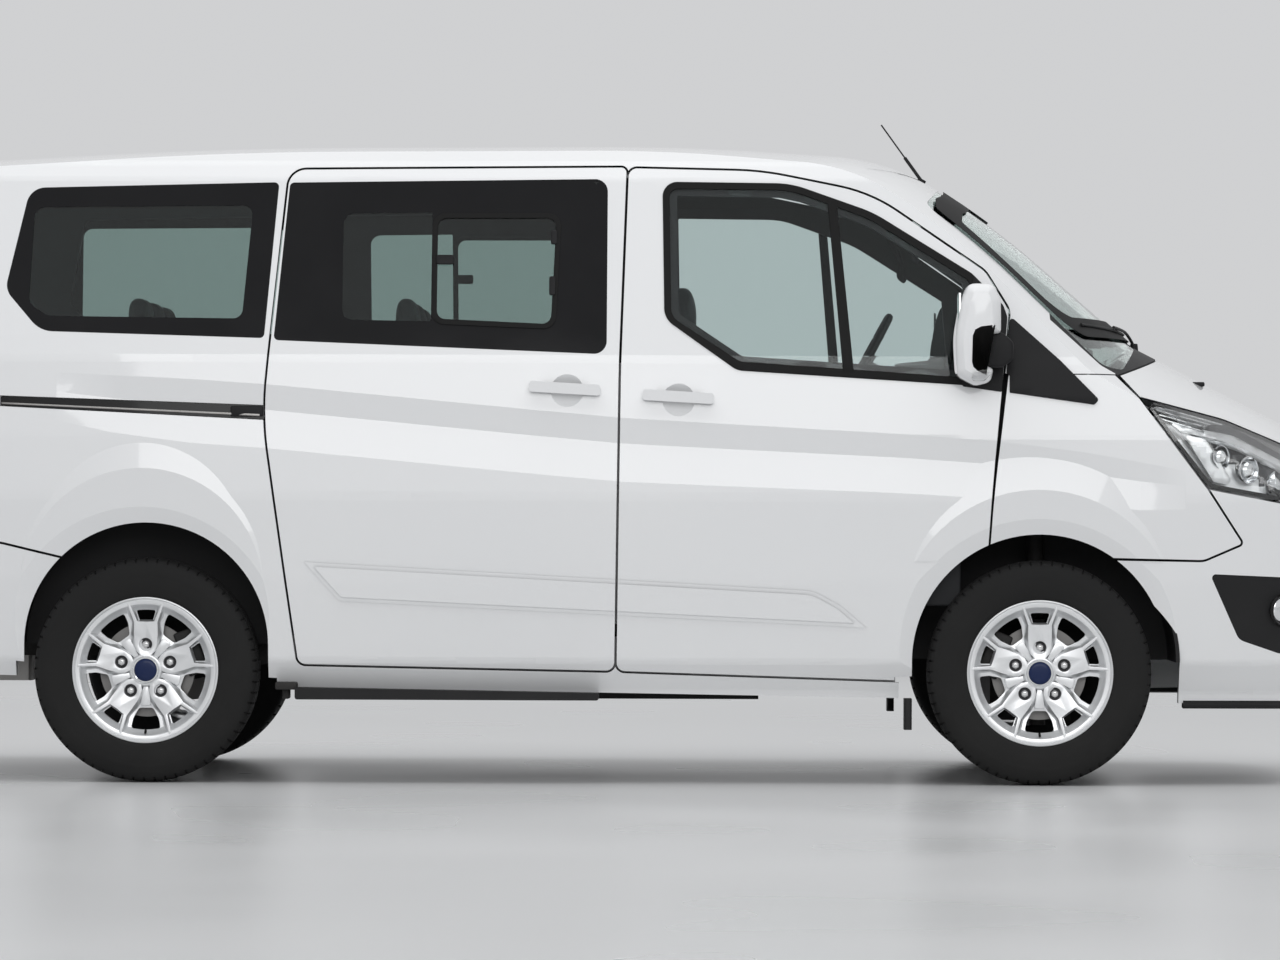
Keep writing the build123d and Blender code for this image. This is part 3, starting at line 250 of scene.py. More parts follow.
def mix_colour(tree, factor, first, second):
    """Blend of two colours, each a colour or a socket."""
    mix = new_node(tree, "Mix", data_type="RGBA")
    tree.links.new(factor, mix.inputs["Factor"])
    for socket, value in ((mix.inputs["A"], first), (mix.inputs["B"], second)):
        if isinstance(value, tuple):
            socket.default_value = (*value, 1)
        else:
            tree.links.new(value, socket)
    return mix.outputs["Result"]


def ramp_value(tree, factor, low, high):
    """Spread a share from 0 to 1 over a range."""
    spread = new_node(tree, "MapRange", {"To Min": low, "To Max": high})
    tree.links.new(factor, spread.inputs["Value"])
    return spread.outputs[0]


def add_bump(tree, shader, height, distance, strength):
    """Fine relief under the shader."""
    bump = new_node(tree, "Bump", {"Distance": distance, "Strength": strength})
    wire(tree, (height, bump.inputs["Height"]), (bump.outputs["Normal"], shader.inputs["Normal"]))


WHITE, WARM_WHITE = (0.8, 0.808, 0.822), (0.835, 0.842, 0.85)
CABIN_GREY = (0.045, 0.046, 0.048)
PALE_DUST, DARK_DUST = (0.55, 0.54, 0.52), (0.16, 0.155, 0.145)
LAMP_BACK = (0.02, 0.02, 0.02)


def body_paint(name):
    """White solid colour under clear lacquer, with grey trim on the faces that look into the cabin."""
    finish, tree, shader = new_finish(name, (0.8, 0.81, 0.82), 0.32, 0.0, 1.0)
    grain, cloud = effect(tree, GRAIN, Size=320.0, Drift=1.6)
    film = effect(tree, ROAD_FILM, Top=0.7, Amount=0.16)[0]
    inner = effect(tree, INNER_SIDE, Lean=0.25, Depth=0.004)[0]
    dusty = mix_colour(tree, film, mix_colour(tree, cloud, WHITE, WARM_WHITE), PALE_DUST)
    wire(tree, (mix_colour(tree, inner, dusty, CABIN_GREY), shader.inputs["Base Color"]),
         (ramp_value(tree, inner, 0.3, 0.7), shader.inputs["Roughness"]),
         (ramp_value(tree, inner, 1.0, 0.0), shader.inputs["Coat Weight"]))
    add_bump(tree, shader, grain, 0.00002, 0.3)
    return finish


def moulded(name, dark, light, rough, size=900.0, depth=0.0002, coat=0.0, dust=0.0):
    """Moulded plastic or rubber: fine grain, uneven sheen and, low down, a little road dust."""
    finish, tree, shader = new_finish(name, dark, rough, 0.0, coat)
    shader.inputs["Specular IOR Level"].default_value = 0.2
    grain, cloud = effect(tree, GRAIN, Size=size, Drift=5.0)
    colour = mix_colour(tree, cloud, dark, light)
    if dust:
        film = effect(tree, ROAD_FILM, Top=0.8, Amount=dust)[0]
        colour = mix_colour(tree, film, colour, DARK_DUST)
    wire(tree, (colour, shader.inputs["Base Color"]),
         (ramp_value(tree, cloud, rough - 0.08, rough + 0.1), shader.inputs["Roughness"]))
    add_bump(tree, shader, grain, depth, 0.6)
    return finish


def metal(name, colour, rough, size, spread, coat=0.0, metallic=1.0):
    """Metal with a fine cast or brushed surface and uneven polish."""
    finish, tree, shader = new_finish(name, colour, rough, metallic, coat)
    grain, cloud = effect(tree, GRAIN, Size=size, Drift=12.0)
    darker = tuple(c * 0.86 for c in colour)
    wire(tree, (mix_colour(tree, cloud, darker, colour), shader.inputs["Base Color"]),
         (ramp_value(tree, cloud, max(rough - spread, 0.02), rough + spread), shader.inputs["Roughness"]))
    add_bump(tree, shader, grain, 0.00005, 0.4)
    return finish


def glass(name, tint, ior=1.45):
    """Tinted pane: clear through, with a faint unevenness in its tint."""
    finish, tree, shader = new_finish(name, tint, 0.0, 0.0, 0.0, ior)
    shader.inputs["Transmission Weight"].default_value = 1.0
    cloud = effect(tree, GRAIN, Size=60.0, Drift=2.0)[1]
    paler = tuple(min(c * 1.02, 1.0) for c in tint)
    wire(tree, (mix_colour(tree, cloud, tint, paler), shader.inputs["Base Color"]))
    return finish


def lamp_lens(name, dark, light):
    """Coloured lens over a reflector: fine ribs under a clear gloss, and a dark back in the cabin."""
    finish, tree, shader = new_finish(name, dark, 0.22, 0.0, 1.0)
    inner = effect(tree, INNER_SIDE, Lean=0.1, Depth=0.004)[0]
    place = new_node(tree, "TexCoord").outputs["Object"]
    ribs = new_node(tree, "TexWave", {"Scale": 34.0, "Distortion": 0.0}, bands_direction="Z")
    wire(tree, (place, ribs.inputs["Vector"]))
    colour = mix_colour(tree, ribs.outputs["Fac"], dark, light)
    wire(tree, (mix_colour(tree, inner, colour, LAMP_BACK), shader.inputs["Base Color"]),
         (ramp_value(tree, inner, 1.0, 0.0), shader.inputs["Coat Weight"]))
    add_bump(tree, shader, ribs.outputs["Fac"], 0.0008, 0.5)
    return finish


def cloth(name, dark, light, threads=700.0):
    """Woven seat cloth with a soft sheen."""
    finish, tree, shader = new_finish(name, dark, 0.9)
    shader.inputs["Sheen Weight"].default_value = 0.35
    weave = effect(tree, WEAVE, Threads=threads)[0]
    cloud = effect(tree, GRAIN, Size=500.0, Drift=9.0)[1]
    thread = mix_colour(tree, weave, dark, light)
    wire(tree, (mix_colour(tree, cloud, thread, dark), shader.inputs["Base Color"]))
    add_bump(tree, shader, weave, 0.0006, 0.7)
    return finish


# maker, name, and what the maker is told
FINISH = {row[1]: row[0](*row[1:]) for row in (
    (body_paint, "body_paint"),
    (glass, "window_glass", (0.475, 0.572, 0.55)),
    (glass, "front_glass", (0.766, 0.846, 0.837), 1.35),
    (glass, "clear_glass", (0.72, 0.81, 0.785), 1.3),
    (glass, "lens_clear", (0.97, 0.98, 0.98)),
    (moulded, "lamp_grey", (0.075, 0.077, 0.08), (0.1, 0.102, 0.105), 0.35, 500.0, 0.00003, 0.4),
    # dark metal for the cups at the bottom of the nut pockets: painted shade of the pockets
    (metal, "nut_seat", (0.075, 0.075, 0.078), 0.45, 800.0, 0.06),
    (lamp_lens, "lens_red", (0.42, 0.006, 0.006), (0.62, 0.02, 0.016)),
    (lamp_lens, "lens_amber", (0.62, 0.16, 0.01), (0.8, 0.26, 0.02)),
    (moulded, "black_plastic", (0.01, 0.01, 0.011), (0.018, 0.018, 0.019), 0.5, 900.0, 0.00025, 0.0, 0.1),
    (moulded, "frit_black", (0.007, 0.007, 0.008), (0.01, 0.01, 0.011), 0.14, 200.0, 0.00001, 0.0),
    (moulded, "gloss_black", (0.005, 0.005, 0.0055), (0.008, 0.008, 0.008), 0.2, 300.0, 0.00002, 0.2),
    (moulded, "seal_rubber", (0.006, 0.006, 0.006), (0.01, 0.01, 0.01), 0.6, 500.0, 0.0001),
    (moulded, "tyre_rubber", (0.008, 0.008, 0.0083), (0.015, 0.015, 0.015), 0.66, 700.0, 0.0003, 0.0, 0.07),
    (moulded, "trim_grey", (0.03, 0.031, 0.033), (0.046, 0.047, 0.05), 0.62, 1100.0, 0.0003),
    (moulded, "trim_light", (0.3, 0.3, 0.29), (0.36, 0.36, 0.35), 0.8, 1400.0, 0.0003),
    (cloth, "carpet", (0.02, 0.02, 0.021), (0.045, 0.045, 0.047), 420.0),
    (cloth, "belt_webbing", (0.012, 0.012, 0.013), (0.03, 0.03, 0.032), 900.0),
    (cloth, "seat_cloth", (0.022, 0.023, 0.026), (0.055, 0.057, 0.062)),
    (metal, "wheel_silver", (0.8, 0.81, 0.82), 0.34, 1500.0, 0.05, 0.5, 0.72),
    (metal, "polished_steel", (0.8, 0.8, 0.8), 0.12, 600.0, 0.04),
    (metal, "chrome", (0.86, 0.87, 0.88), 0.05, 300.0, 0.02),
    (metal, "reflector_silver", (0.88, 0.89, 0.9), 0.14, 200.0, 0.04),
    (metal, "bare_steel", (0.36, 0.35, 0.34), 0.38, 500.0, 0.12),
    (moulded, "chassis_iron", (0.022, 0.022, 0.023), (0.035, 0.033, 0.031), 0.6, 300.0, 0.0005, 0.0, 0.15),
    (metal, "disc_iron", (0.2, 0.195, 0.19), 0.42, 700.0, 0.1),
    (moulded, "cap_blue", (0.004, 0.013, 0.06), (0.007, 0.019, 0.08), 0.32, 800.0, 0.00003, 0.15),
    (glass, "lamp_clear", (0.97, 0.98, 0.98)),
    (lamp_lens, "lamp_red", (0.2, 0.004, 0.004), (0.3, 0.008, 0.007)),
    (moulded, "grille_black", (0.01, 0.01, 0.011), (0.018, 0.018, 0.019), 0.35, 700.0, 0.0001, 0.3),
)}
# the record's slot that each finish belongs to
SLOT_OF = {
    "front_glass": "window_glass", "lens_clear": "lamp_clear", "lens_red": "lamp_red",
    "lens_amber": "lamp_red",
    "frit_black": "window_glass", "gloss_black": "black_plastic", "seal_rubber": "black_plastic",
    "trim_light": "trim_grey",
    "polished_steel": "bare_steel", "chrome": "bare_steel", "reflector_silver": "lamp_clear",
    "disc_iron": "bare_steel",
    "cap_blue": "wheel_silver", "nut_seat": "bare_steel", "lamp_grey": "lamp_clear", "carpet": "trim_grey",
    "belt_webbing": "seat_cloth",
}


# --- modelling helpers
def deselect():
    """Leave any edit and choose nothing."""
    if bpy.context.mode != "OBJECT":
        bpy.ops.object.mode_set(mode="OBJECT")
    bpy.ops.object.select_all(action="DESELECT")


def take(obj):
    """Choose one piece."""
    deselect()
    obj.select_set(True)
    bpy.context.view_layer.objects.active = obj


def settle(obj):
    """Put a piece's place, turn and scale into its mesh."""
    take(obj)
    bpy.ops.object.transform_apply(location=True, rotation=True, scale=True)
    return obj


def clone(obj):
    """Copy of a piece with its own mesh."""
    copy = obj.copy()
    copy.data = obj.data.copy()
    bpy.context.scene.collection.objects.link(copy)
    return copy


def add_modifier(obj, kind, **values):
    """Add a modifier and apply it."""
    take(obj)
    modifier = obj.modifiers.new(kind.lower(), kind)
    for label, value in values.items():
        setattr(modifier, label, value)
    bpy.ops.object.modifier_apply(modifier=modifier.name)
    return obj


def ease(obj, width, angle, segments=2):
    """Round the edges sharper than an angle, by a width in millimetres."""
    return add_modifier(obj, "BEVEL", width=width * MM, segments=segments,
                        limit_method="ANGLE", angle_limit=math.radians(angle))


def edit_all(obj):
    """Start to edit a piece with all of it chosen."""
    take(obj)
    bpy.ops.object.mode_set(mode="EDIT")
    bpy.ops.mesh.select_all(action="SELECT")


def close_up(obj):
    """Turn every face outwards and end the edit."""
    bpy.ops.mesh.select_all(action="SELECT")
    bpy.ops.mesh.normals_make_consistent(inside=False)
    bpy.ops.object.mode_set(mode="OBJECT")
    return obj


def clean(obj, distance=0.00002):
    """Merge doubles and turn every face outwards."""
    edit_all(obj)
    bpy.ops.mesh.remove_doubles(threshold=distance)
    return close_up(obj)


def cap_ends(obj):
    """Fill each open end with a face."""
    edit_all(obj)
    bpy.ops.mesh.select_all(action="DESELECT")
    bpy.ops.mesh.select_mode(type="EDGE")
    bpy.ops.mesh.select_non_manifold(extend=False)
    bpy.ops.mesh.edge_face_add()
    bpy.ops.mesh.select_mode(type="VERT")
    bpy.ops.object.mode_set(mode="OBJECT")
    return clean(obj)


def dress(obj, name, finish, body, smooth=40, replaces=(), slot=None):
    """Name, finish, shade and mount a finished piece."""
    settle(obj)
    obj.name = name
    obj.data.name = name
    obj.data.materials.clear()
    obj.data.materials.append(FINISH[finish])
    bpy.ops.object.shade_smooth_by_angle(angle=math.radians(smooth))
    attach(obj, body)
    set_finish(obj, slot or SLOT_OF.get(finish, finish))
    for node in replaces:
        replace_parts(obj, node)
    deselect()
    return obj


def twin(obj, name, body, replaces):
    """The left-hand mirror image of a right-hand piece."""
    copy = clone(obj)
    if "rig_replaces" in copy:
        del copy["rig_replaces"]
    copy.parent = None
    copy.matrix_world = Matrix.Identity(4)
    copy.data.transform(Matrix.Diagonal((1, -1, 1, 1)))
    copy.data.flip_normals()
    copy.name = name
    copy.data.name = name
    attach(copy, body)
    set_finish(copy, obj["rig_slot"])
    for node in replaces:
        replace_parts(copy, node)
    return copy


def both(obj, name, finish, body, smooth=40, replaces=(), slot=None):
    """Dress a right-hand piece and add its left-hand twin; {s} in names stands for the side."""
    dress(obj, name + "_right", finish, body.format(s="right"), smooth,
          [r.format(s="right") for r in replaces], slot)
    twin(obj, name + "_left", body.format(s="left"), [r.format(s="left") for r in replaces if "{s}" in r])
    return obj


def join(pieces):
    """Make one piece of several."""
    take(pieces[0])
    for piece in pieces:
        piece.select_set(True)
    bpy.context.view_layer.objects.active = pieces[0]
    bpy.ops.object.join()
    return bpy.context.object


def rounded_outline(rows, step=6.0):
    """Points of a closed outline given as two coordinates and a corner radius, in millimetres."""
    points = []
    for index, (x, z, radius) in enumerate(rows):
        corner = Vector((x, z))
        before = Vector(rows[index - 1][:2]) - corner
        after = Vector(rows[(index + 1) % len(rows)][:2]) - corner
        if radius <= 0:
            points.append(corner)
            continue
        half = before.angle(after) / 2
        reach = min(radius / math.tan(half), 0.49 * before.length, 0.49 * after.length)
        radius = reach * math.tan(half)
        middle = corner + (before.normalized() + after.normalized()).normalized() * (radius / math.sin(half))
        start = corner + before.normalized() * reach - middle
        end = corner + after.normalized() * reach - middle
        turn = start.angle_signed(end)
        pieces = max(2, int(abs(turn) * radius / step))
        for part in range(pieces + 1):
            cosine, sine = math.cos(turn * part / pieces), math.sin(turn * part / pieces)
            points.append(middle + Vector((start.x * cosine + start.y * sine,
                                           start.y * cosine - start.x * sine)))
    return points


# from two coordinates and a depth to a place, and which way is out
VIEWS = {
    "side": lambda a, b, d: (a, -d, b),
    "rear": lambda a, b, d: (-d, -a, b),
    "front": lambda a, b, d: (d, -a, b),
    "top": lambda a, b, d: (a, -b, d),
}
OUTWARD = {"side": Vector((0, -1, 0)), "rear": Vector((-1, 0, 0)), "front": Vector((1, 0, 0)),
           "top": Vector((0, 0, 1))}


def flat_plate(view, depth, rows, holes=(), cell=0):
    """Flat sheet with holes, seen from one side, cut into cells so that it can follow a curved panel."""
    rings = []
    for table in (rows, *holes):
        loop = rounded_outline(table)
        deselect()
        bpy.ops.mesh.primitive_circle_add(vertices=len(loop), fill_type="NOTHING")
        ring = bpy.context.object
        for vertex, point in zip(ring.data.vertices, loop):
            vertex.co = Vector(VIEWS[view](point[0], point[1], depth)) * MM
        rings.append(ring)
    plate = join(rings) if len(rings) > 1 else rings[0]
    edit_all(plate)
    if len(rings) > 1:
        bpy.ops.mesh.fill(use_beauty=True)
    else:
        bpy.ops.mesh.edge_face_add()
    if cell:
        across = [i for i in range(3) if abs(OUTWARD[view][i]) < 0.5]
        for axis in across:
            values = [v.co[axis] for v in bmesh.from_edit_mesh(plate.data).verts]
            low, high = min(values), max(values)
            normal = [0.0, 0.0, 0.0]
            normal[axis] = 1.0
            count = int((high - low) / (cell * MM))
            for index in range(1, count + 1):
                place = [0.0, 0.0, 0.0]
                place[axis] = low + (high - low) * index / (count + 1)
                bpy.ops.mesh.select_all(action="SELECT")
                bpy.ops.mesh.bisect(plane_co=place, plane_no=normal)
    close_up(plate)
    total = sum((p.normal * p.area for p in plate.data.polygons), Vector())
    if total.dot(OUTWARD[view]) < 0:
        plate.data.flip_normals()
    return plate


def push_out(piece, value):
    """Extrude a whole flat sheet by a vector in millimetres, and stay in the edit."""
    edit_all(piece)
    bpy.ops.mesh.extrude_region_move(TRANSFORM_OT_translate={"value": tuple(Vector(value) * MM)})


def object_tree(*pieces):
    """Search tree of the pieces' faces."""
    points, faces = [], []
    for piece in pieces:
        start = len(points)
        points += [v.co.copy() for v in piece.data.vertices]
        faces += [[start + i for i in p.vertices] for p in piece.data.polygons]
    return BVHTree.FromPolygons(points, faces)


def panel_tree(*names):
    """Search tree of the named panels' faces."""
    return object_tree(*(nodes[name] for name in names))


def find(tree, start, direction):
    """Where a ray from a point meets a panel, in millimetres, and which way the panel faces, or None twice."""
    place, normal, _, _ = tree.ray_cast(Vector(start) * MM, Vector(direction))
    return (None, None) if place is None else (place / MM, normal)


def facing_forward(tree, x, z, lean):
    """Point on the right-hand side, its direction leaned forward, and a direction across that one."""
    place, normal = find(tree, (x, -3000, z), (0, 1, 0))
    normal = (normal + Vector((lean, 0, 0))).normalized()
    return place, normal, normal.cross(Vector((0, 0, 1))).cross(normal).normalized()


# how far off a point is probed in millimetres, and how deep a gap may be in metres
PROBE = 9.0
STEP_LIMIT = 0.004


def lay_on(obj, tree, view, lift):
    """Lay a flat sheet on the panels behind it.

    A point over a gap takes the height of the panels beside it, and a point with no panel near it is dropped.
    """
    out = OUTWARD[view]
    sides = [axis * PROBE * MM for axis in Matrix.Identity(3) if abs(axis.dot(out)) < 0.5]
    missed = []
    for vertex in obj.data.vertices:
        start = vertex.co + out * 3.0
        heights = []
        for shift in (Vector(), sides[0], -sides[0], sides[1], -sides[1]):
            hit = tree.ray_cast(start + shift, -out)
            if hit[0] is not None:
                heights.append(hit[0].dot(out))
        if heights:
            top = max(heights)
            height = heights[0] if top - heights[0] < STEP_LIMIT else top
            vertex.co += out * (height - vertex.co.dot(out) + lift * MM)
        else:
            missed.append(vertex.index)
    if missed:
        mesh = bmesh.new()
        mesh.from_mesh(obj.data)
        mesh.verts.ensure_lookup_table()
        bmesh.ops.delete(mesh, geom=[mesh.verts[i] for i in missed], context="VERTS")
        mesh.to_mesh(obj.data)
        mesh.free()
    return obj


def thicken(obj, thick, crown=0.0):
    """Give a sheet its thickness inwards and ease its outer edge."""
    add_modifier(obj, "SOLIDIFY", thickness=thick * MM, offset=-1.0, use_even_offset=False)
    if crown:
        ease(obj, crown, 50)
    return obj


def laid(view, rows, tree, lift, thick, crown=0.0, holes=(), cell=25):
    """Thin panel with holes that lies on the panels behind it."""
    sheet = flat_plate(view, 0, rows, holes, cell)
    lay_on(sheet, tree, view, lift)
    return thicken(sheet, thick, crown)


def box_piece(low, high, edge, segments=2):
    """Block from its corners in millimetres, with eased edges."""
    deselect()
    low, high = Vector(low), Vector(high)
    bpy.ops.mesh.primitive_cube_add(size=1, location=(low + high) / 2 * MM, scale=(high - low) * MM)
    block = settle(bpy.context.object)
    return ease(block, edge, 40, segments)


def rod_piece(start, end, radius, far_radius, vertices, edge=0.0):
    """Straight round piece between two points, in millimetres."""
    deselect()
    start, end = Vector(start), Vector(end)
    along = end - start
    bpy.ops.mesh.primitive_cone_add(vertices=vertices, radius1=radius * MM, radius2=far_radius * MM,
                                    depth=along.length * MM, location=(start + end) / 2 * MM,
                                    rotation=along.to_track_quat("Z", "Y").to_euler())
    rod = settle(bpy.context.object)
    return ease(rod, edge, 40) if edge else rod


def spun_piece(rows, centre, axis, across, steps, closed=False):
    """Round piece from a section of rows (along the axis, radius), in millimetres."""
    deselect()
    bpy.ops.mesh.primitive_circle_add(vertices=len(rows), fill_type="NOTHING")
    ring = bpy.context.object
    axis, across = Vector(axis).normalized(), Vector(across).normalized()
    place = Vector(centre)
    for vertex, (along, radius) in zip(ring.data.vertices, rows):
        vertex.co = (place + axis * along + across * radius) * MM
    edit_all(ring)
    if not closed:
        mesh = bmesh.from_edit_mesh(ring.data)
        mesh.verts.ensure_lookup_table()
        last = mesh.edges.get((mesh.verts[0], mesh.verts[-1]))
        if last:
            mesh.edges.remove(last)
        bmesh.update_edit_mesh(ring.data)
    bpy.ops.mesh.select_all(action="SELECT")
    bpy.ops.mesh.spin(steps=steps, angle=2 * math.pi, center=place * MM, axis=axis, dupli=False)
    bpy.ops.mesh.select_all(action="SELECT")
    bpy.ops.mesh.remove_doubles(threshold=0.00003)
    return clean(close_up(ring))


def tube_piece(points, radius):
    """Bent rod through points in millimetres, made a mesh."""
    deselect()
    line = bpy.data.curves.new("line", "CURVE")
    line.dimensions = "3D"
    line.bevel_depth = radius * MM
    line.bevel_resolution = 2
    line.use_fill_caps = True
    spline = line.splines.new("NURBS")
    spline.points.add(len(points) - 1)
    for point, place in zip(spline.points, points):
        point.co = (*(Vector(place) * MM), 1)
    spline.order_u = 3
    spline.use_endpoint_u = True
    spline.resolution_u = 6
    holder = bpy.data.objects.new("line", line)
    bpy.context.scene.collection.objects.link(holder)
    take(holder)
    bpy.ops.object.convert(target="MESH")
    return bpy.context.object


# --- side windows
# outlines on the right-hand side: along, up, corner radius
QUARTER_PANE = [(-1827, 1545, 60), (-1759, 1869, 60), (-973, 1888, 12), (-1011, 1394, 12), (-1714, 1415, 90)]
QUARTER_CLEAR = [(-1753, 1500, 40), (-1742, 1808, 34), (-1052, 1815, 30), (-1080, 1455, 30),
                 (-1690, 1462, 60)]
SLIDING_PANE = [(-936, 1887, 12), (65, 1901, 40), (65, 1346, 40), (-977, 1388, 12)]
FIXED_CLEAR = [(-765, 1790, 34), (-486, 1794, 4), (-486, 1448, 4), (-765, 1452, 34)]
MOVING_CLEAR = [(-480, 1784, 34), (-84, 1786, 34), (-100, 1432, 34), (-480, 1446, 34)]
MOVING_FRAME = [(-484, 1791, 40), (-79, 1793, 40), (-95, 1424, 40), (-484, 1440, 40)]
MOVING_GLASS = [(-468, 1776, 28), (-95, 1777, 28), (-110, 1440, 28), (-468, 1456, 28)]
DOOR_SEAL = [(246, 1459, 66), (238, 1894, 46), (643, 1890, 300), (901, 1799, 400), (1226, 1597, 46),
             (1262, 1248, 40), (474, 1296, 66)]
DOOR_CLEAR = [(268, 1464, 50), (260, 1872, 28), (640, 1869, 300), (888, 1779, 400), (1202, 1584, 30),
              (1236, 1274, 30), (484, 1324, 50)]
DIVISION_BAR = [(757, 1846, 0), (787, 1838, 0), (840, 1290, 0), (806, 1292, 0)]
SAIL_DOOR = [(1180, 1249, 4), (1218, 1600, 0), (1309, 1506, 10), (1322, 1470, 30), (1303, 1232, 3)]
SAIL_BODY = [(1330, 1472, 8), (1486, 1332, 300), (1608, 1209, 8), (1594, 1193, 8), (1328, 1230, 3),
             (1328, 1283, 0), (1318, 1292, 0)]
RAIL_COVER = [(-1834, 1209, 2), (-1006, 1181, 2), (-1006, 1138, 2), (-1834, 1179, 2)]
# name, middle along and up, width, height, how far it stands out
PANE_FITTINGS = (
    ("sliding_pane_latch", -444, 1644, 54, 30, 13.0),
    ("sliding_pane_upper_clip", -102, 1716, 20, 44, 9.0),
    ("sliding_pane_lower_clip", -106, 1562, 20, 60, 9.0),
)


def build_side_windows():
    """Printed borders of the side panes, the sliding pane's frame and fittings, the front window's seal."""
    panes = panel_tree("side_glass")
    door = panel_tree("front_door_right", "front_door_glass_right")
    front = "front_door_{s}"
    for name, finish, rows, holes, tree, body, lift, thick, crown in (
        ("quarter_window_border", "frit_black", QUARTER_PANE, [QUARTER_CLEAR], panes, "body", 0.6, 1.2, 0),
        ("sliding_window_border", "frit_black", SLIDING_PANE, [FIXED_CLEAR, MOVING_CLEAR], panes, "body",
         0.6, 1.2, 0),
        ("sliding_pane_frame", "seal_rubber", MOVING_FRAME, [MOVING_GLASS], panes, "body", 4.5, 9.0, 2.0),
        ("front_window_seal", "seal_rubber", DOOR_SEAL, [DOOR_CLEAR], door, front, 3.0, 6.0, 1.5),
        ("front_window_division_bar", "seal_rubber", DIVISION_BAR, [], door, front, 3.5, 6.0, 1.5),
    ):
        both(laid("side", rows, tree, lift, thick, crown, holes, 45), name, finish, body, 30)
    for name, x, z, width, height, lift in PANE_FITTINGS:
        corners = ((-1, -1), (-1, 1), (1, 1), (1, -1))
        rows = [(x + along * width / 2, z + up * height / 2, 6) for along, up in corners]
        both(laid("side", rows, panes, lift, 9.0, 2.5, (), 20), name, "black_plastic", "body")


def build_sail_panels():
    """Black panels at the mirror's foot, one on the door and one on the pillar."""
    door = panel_tree("front_door_right", "front_door_glass_right")
    both(laid("side", SAIL_DOOR, door, 6.0, 6.0, 1.5, (), 30), "mirror_sail", "black_plastic",
         "front_door_{s}", 30)
    side = panel_tree("body_side_right", "wings", "scuttle", "windscreen")
    both(laid("side", SAIL_BODY, side, 6.0, 6.0, 1.5, (), 30), "pillar_foot_cover", "black_plastic", "body",
         30)


# --- wheels
WHEEL_Y = 865
TYRE_RADIUS = 352
AXLES = (("front", 1425), ("rear", -1375))
# section rows: across the wheel (outside negative), radius
TYRE_ROWS = [(-95, 221), (-103, 226), (-108, 233), (-111, 241), (-110.5, 249), (-112, 256), (-112.4, 272),
             (-112.4, 290), (-111.6, 296), (-111.8, 298), (-110.6, 306), (-108.5, 318), (-105.5, 328),
             (-101.5, 336), (-96, 342), (-88, 346.5), (-78, 349), (-66, 350.2), (-64, 343.5), (-56, 343.5),
             (-54, 351), (-38, 351.6), (-24, 351.9), (-22, 344.5), (-13, 344.5), (-11, 352), (11, 352),
             (13, 344.5), (22, 344.5), (24, 351.9), (38, 351.6), (54, 351), (56, 343.5), (64, 343.5),
             (66, 350.2), (78, 349), (88, 346.5), (96, 342), (101.5, 336), (105.5, 328), (108.5, 318),
             (111.8, 298), (112.4, 272), (111, 241), (108, 233), (95, 221)]
# pitches of tread, the slot's share of a pitch and its depth
TYRE_PITCHES = 64
SLOT_SHARE = 0.18
SLOT_DEPTH = 5.5
RIM_ROWS = [(-88, 41), (-90.5, 44), (-89.5, 48), (-84, 52), (-70, 56), (-66, 64), (-66, 122), (-70, 160),
            (-76, 186), (-84, 196), (-96, 203), (-101, 207), (-102.5, 219), (-101.5, 220.5),
            (-105.5, 222.5), (-107.6, 225.5), (-106.5, 228.6), (-103, 228.8), (-98, 227), (-94, 221.5),
            (-84, 219), (-40, 212), (60, 212), (92, 219), (98, 226), (104, 229), (106, 227), (103, 221),
            (94, 212), (60, 205), (-40, 205), (-60, 200), (-60, 190), (-54, 160), (-50, 122), (-50, 66),
            (-40, 60), (-40, 34), (-78, 34), (-78, 41)]
FORK_HOLE = [(156, -21, 4), (187, -31, 5), (189, 0, 200), (187, 31, 5), (156, 21, 4)]
WIDE_HOLE = [(119, -22, 12), (152, -40, 30), (183, -47, 7), (189, 0, 188), (183, 47, 7), (152, 40, 30),
             (119, 22, 12)]
# right half of a forked spoke: corners as outward from the axle, across, height over the wheel's middle plane
SPOKE_CORNERS = {"root_middle": (40, 0, 89.5), "face_middle": (100, 0, 88), "fork_middle": (151, 0, 91),
                 "root_edge": (42, 13, 89.5), "neck_edge": (58, 28, 89.5), "nut_edge": (80, 35, 89),
                 "waist_edge": (112, 37, 89.5), "shoulder": (150, 37, 93), "fork_corner": (152, 26, 92),
                 "tip_inner": (205, 49, 103.5), "tip_outer": (206, 56, 103.5), "root_foot": (44, 17, 64),
                 "neck_foot": (64, 37, 64), "nut_foot": (82, 46, 64), "waist_foot": (112, 52, 62),
                 "shoulder_foot": (150, 49, 62), "prong_foot": (172, 60, 66), "tip_foot": (207, 66, 90),
                 "fork_floor": (158, 0, 68), "fork_foot": (158, 23, 68), "inner_foot": (187, 32, 72),
                 "tip_inner_foot": (206, 42, 90)}
SPOKE_FACES = [("root_middle", "root_edge", "neck_edge", "nut_edge", "face_middle"),
               ("face_middle", "nut_edge", "waist_edge", "shoulder", "fork_corner", "fork_middle"),
               ("fork_corner", "shoulder", "tip_outer", "tip_inner"),
               ("root_edge", "root_foot", "neck_foot", "neck_edge"),
               ("neck_edge", "neck_foot", "nut_foot", "nut_edge"),
               ("nut_edge", "nut_foot", "waist_foot", "waist_edge"),
               ("waist_edge", "waist_foot", "shoulder_foot", "shoulder"),
               ("shoulder", "shoulder_foot", "prong_foot"),
               ("shoulder", "prong_foot", "tip_foot", "tip_outer"),
               ("fork_middle", "fork_corner", "fork_foot", "fork_floor"),
               ("fork_corner", "tip_inner", "tip_inner_foot", "inner_foot"),
               ("fork_corner", "inner_foot", "fork_foot"),
               ("tip_inner", "tip_outer", "tip_foot", "tip_inner_foot")]
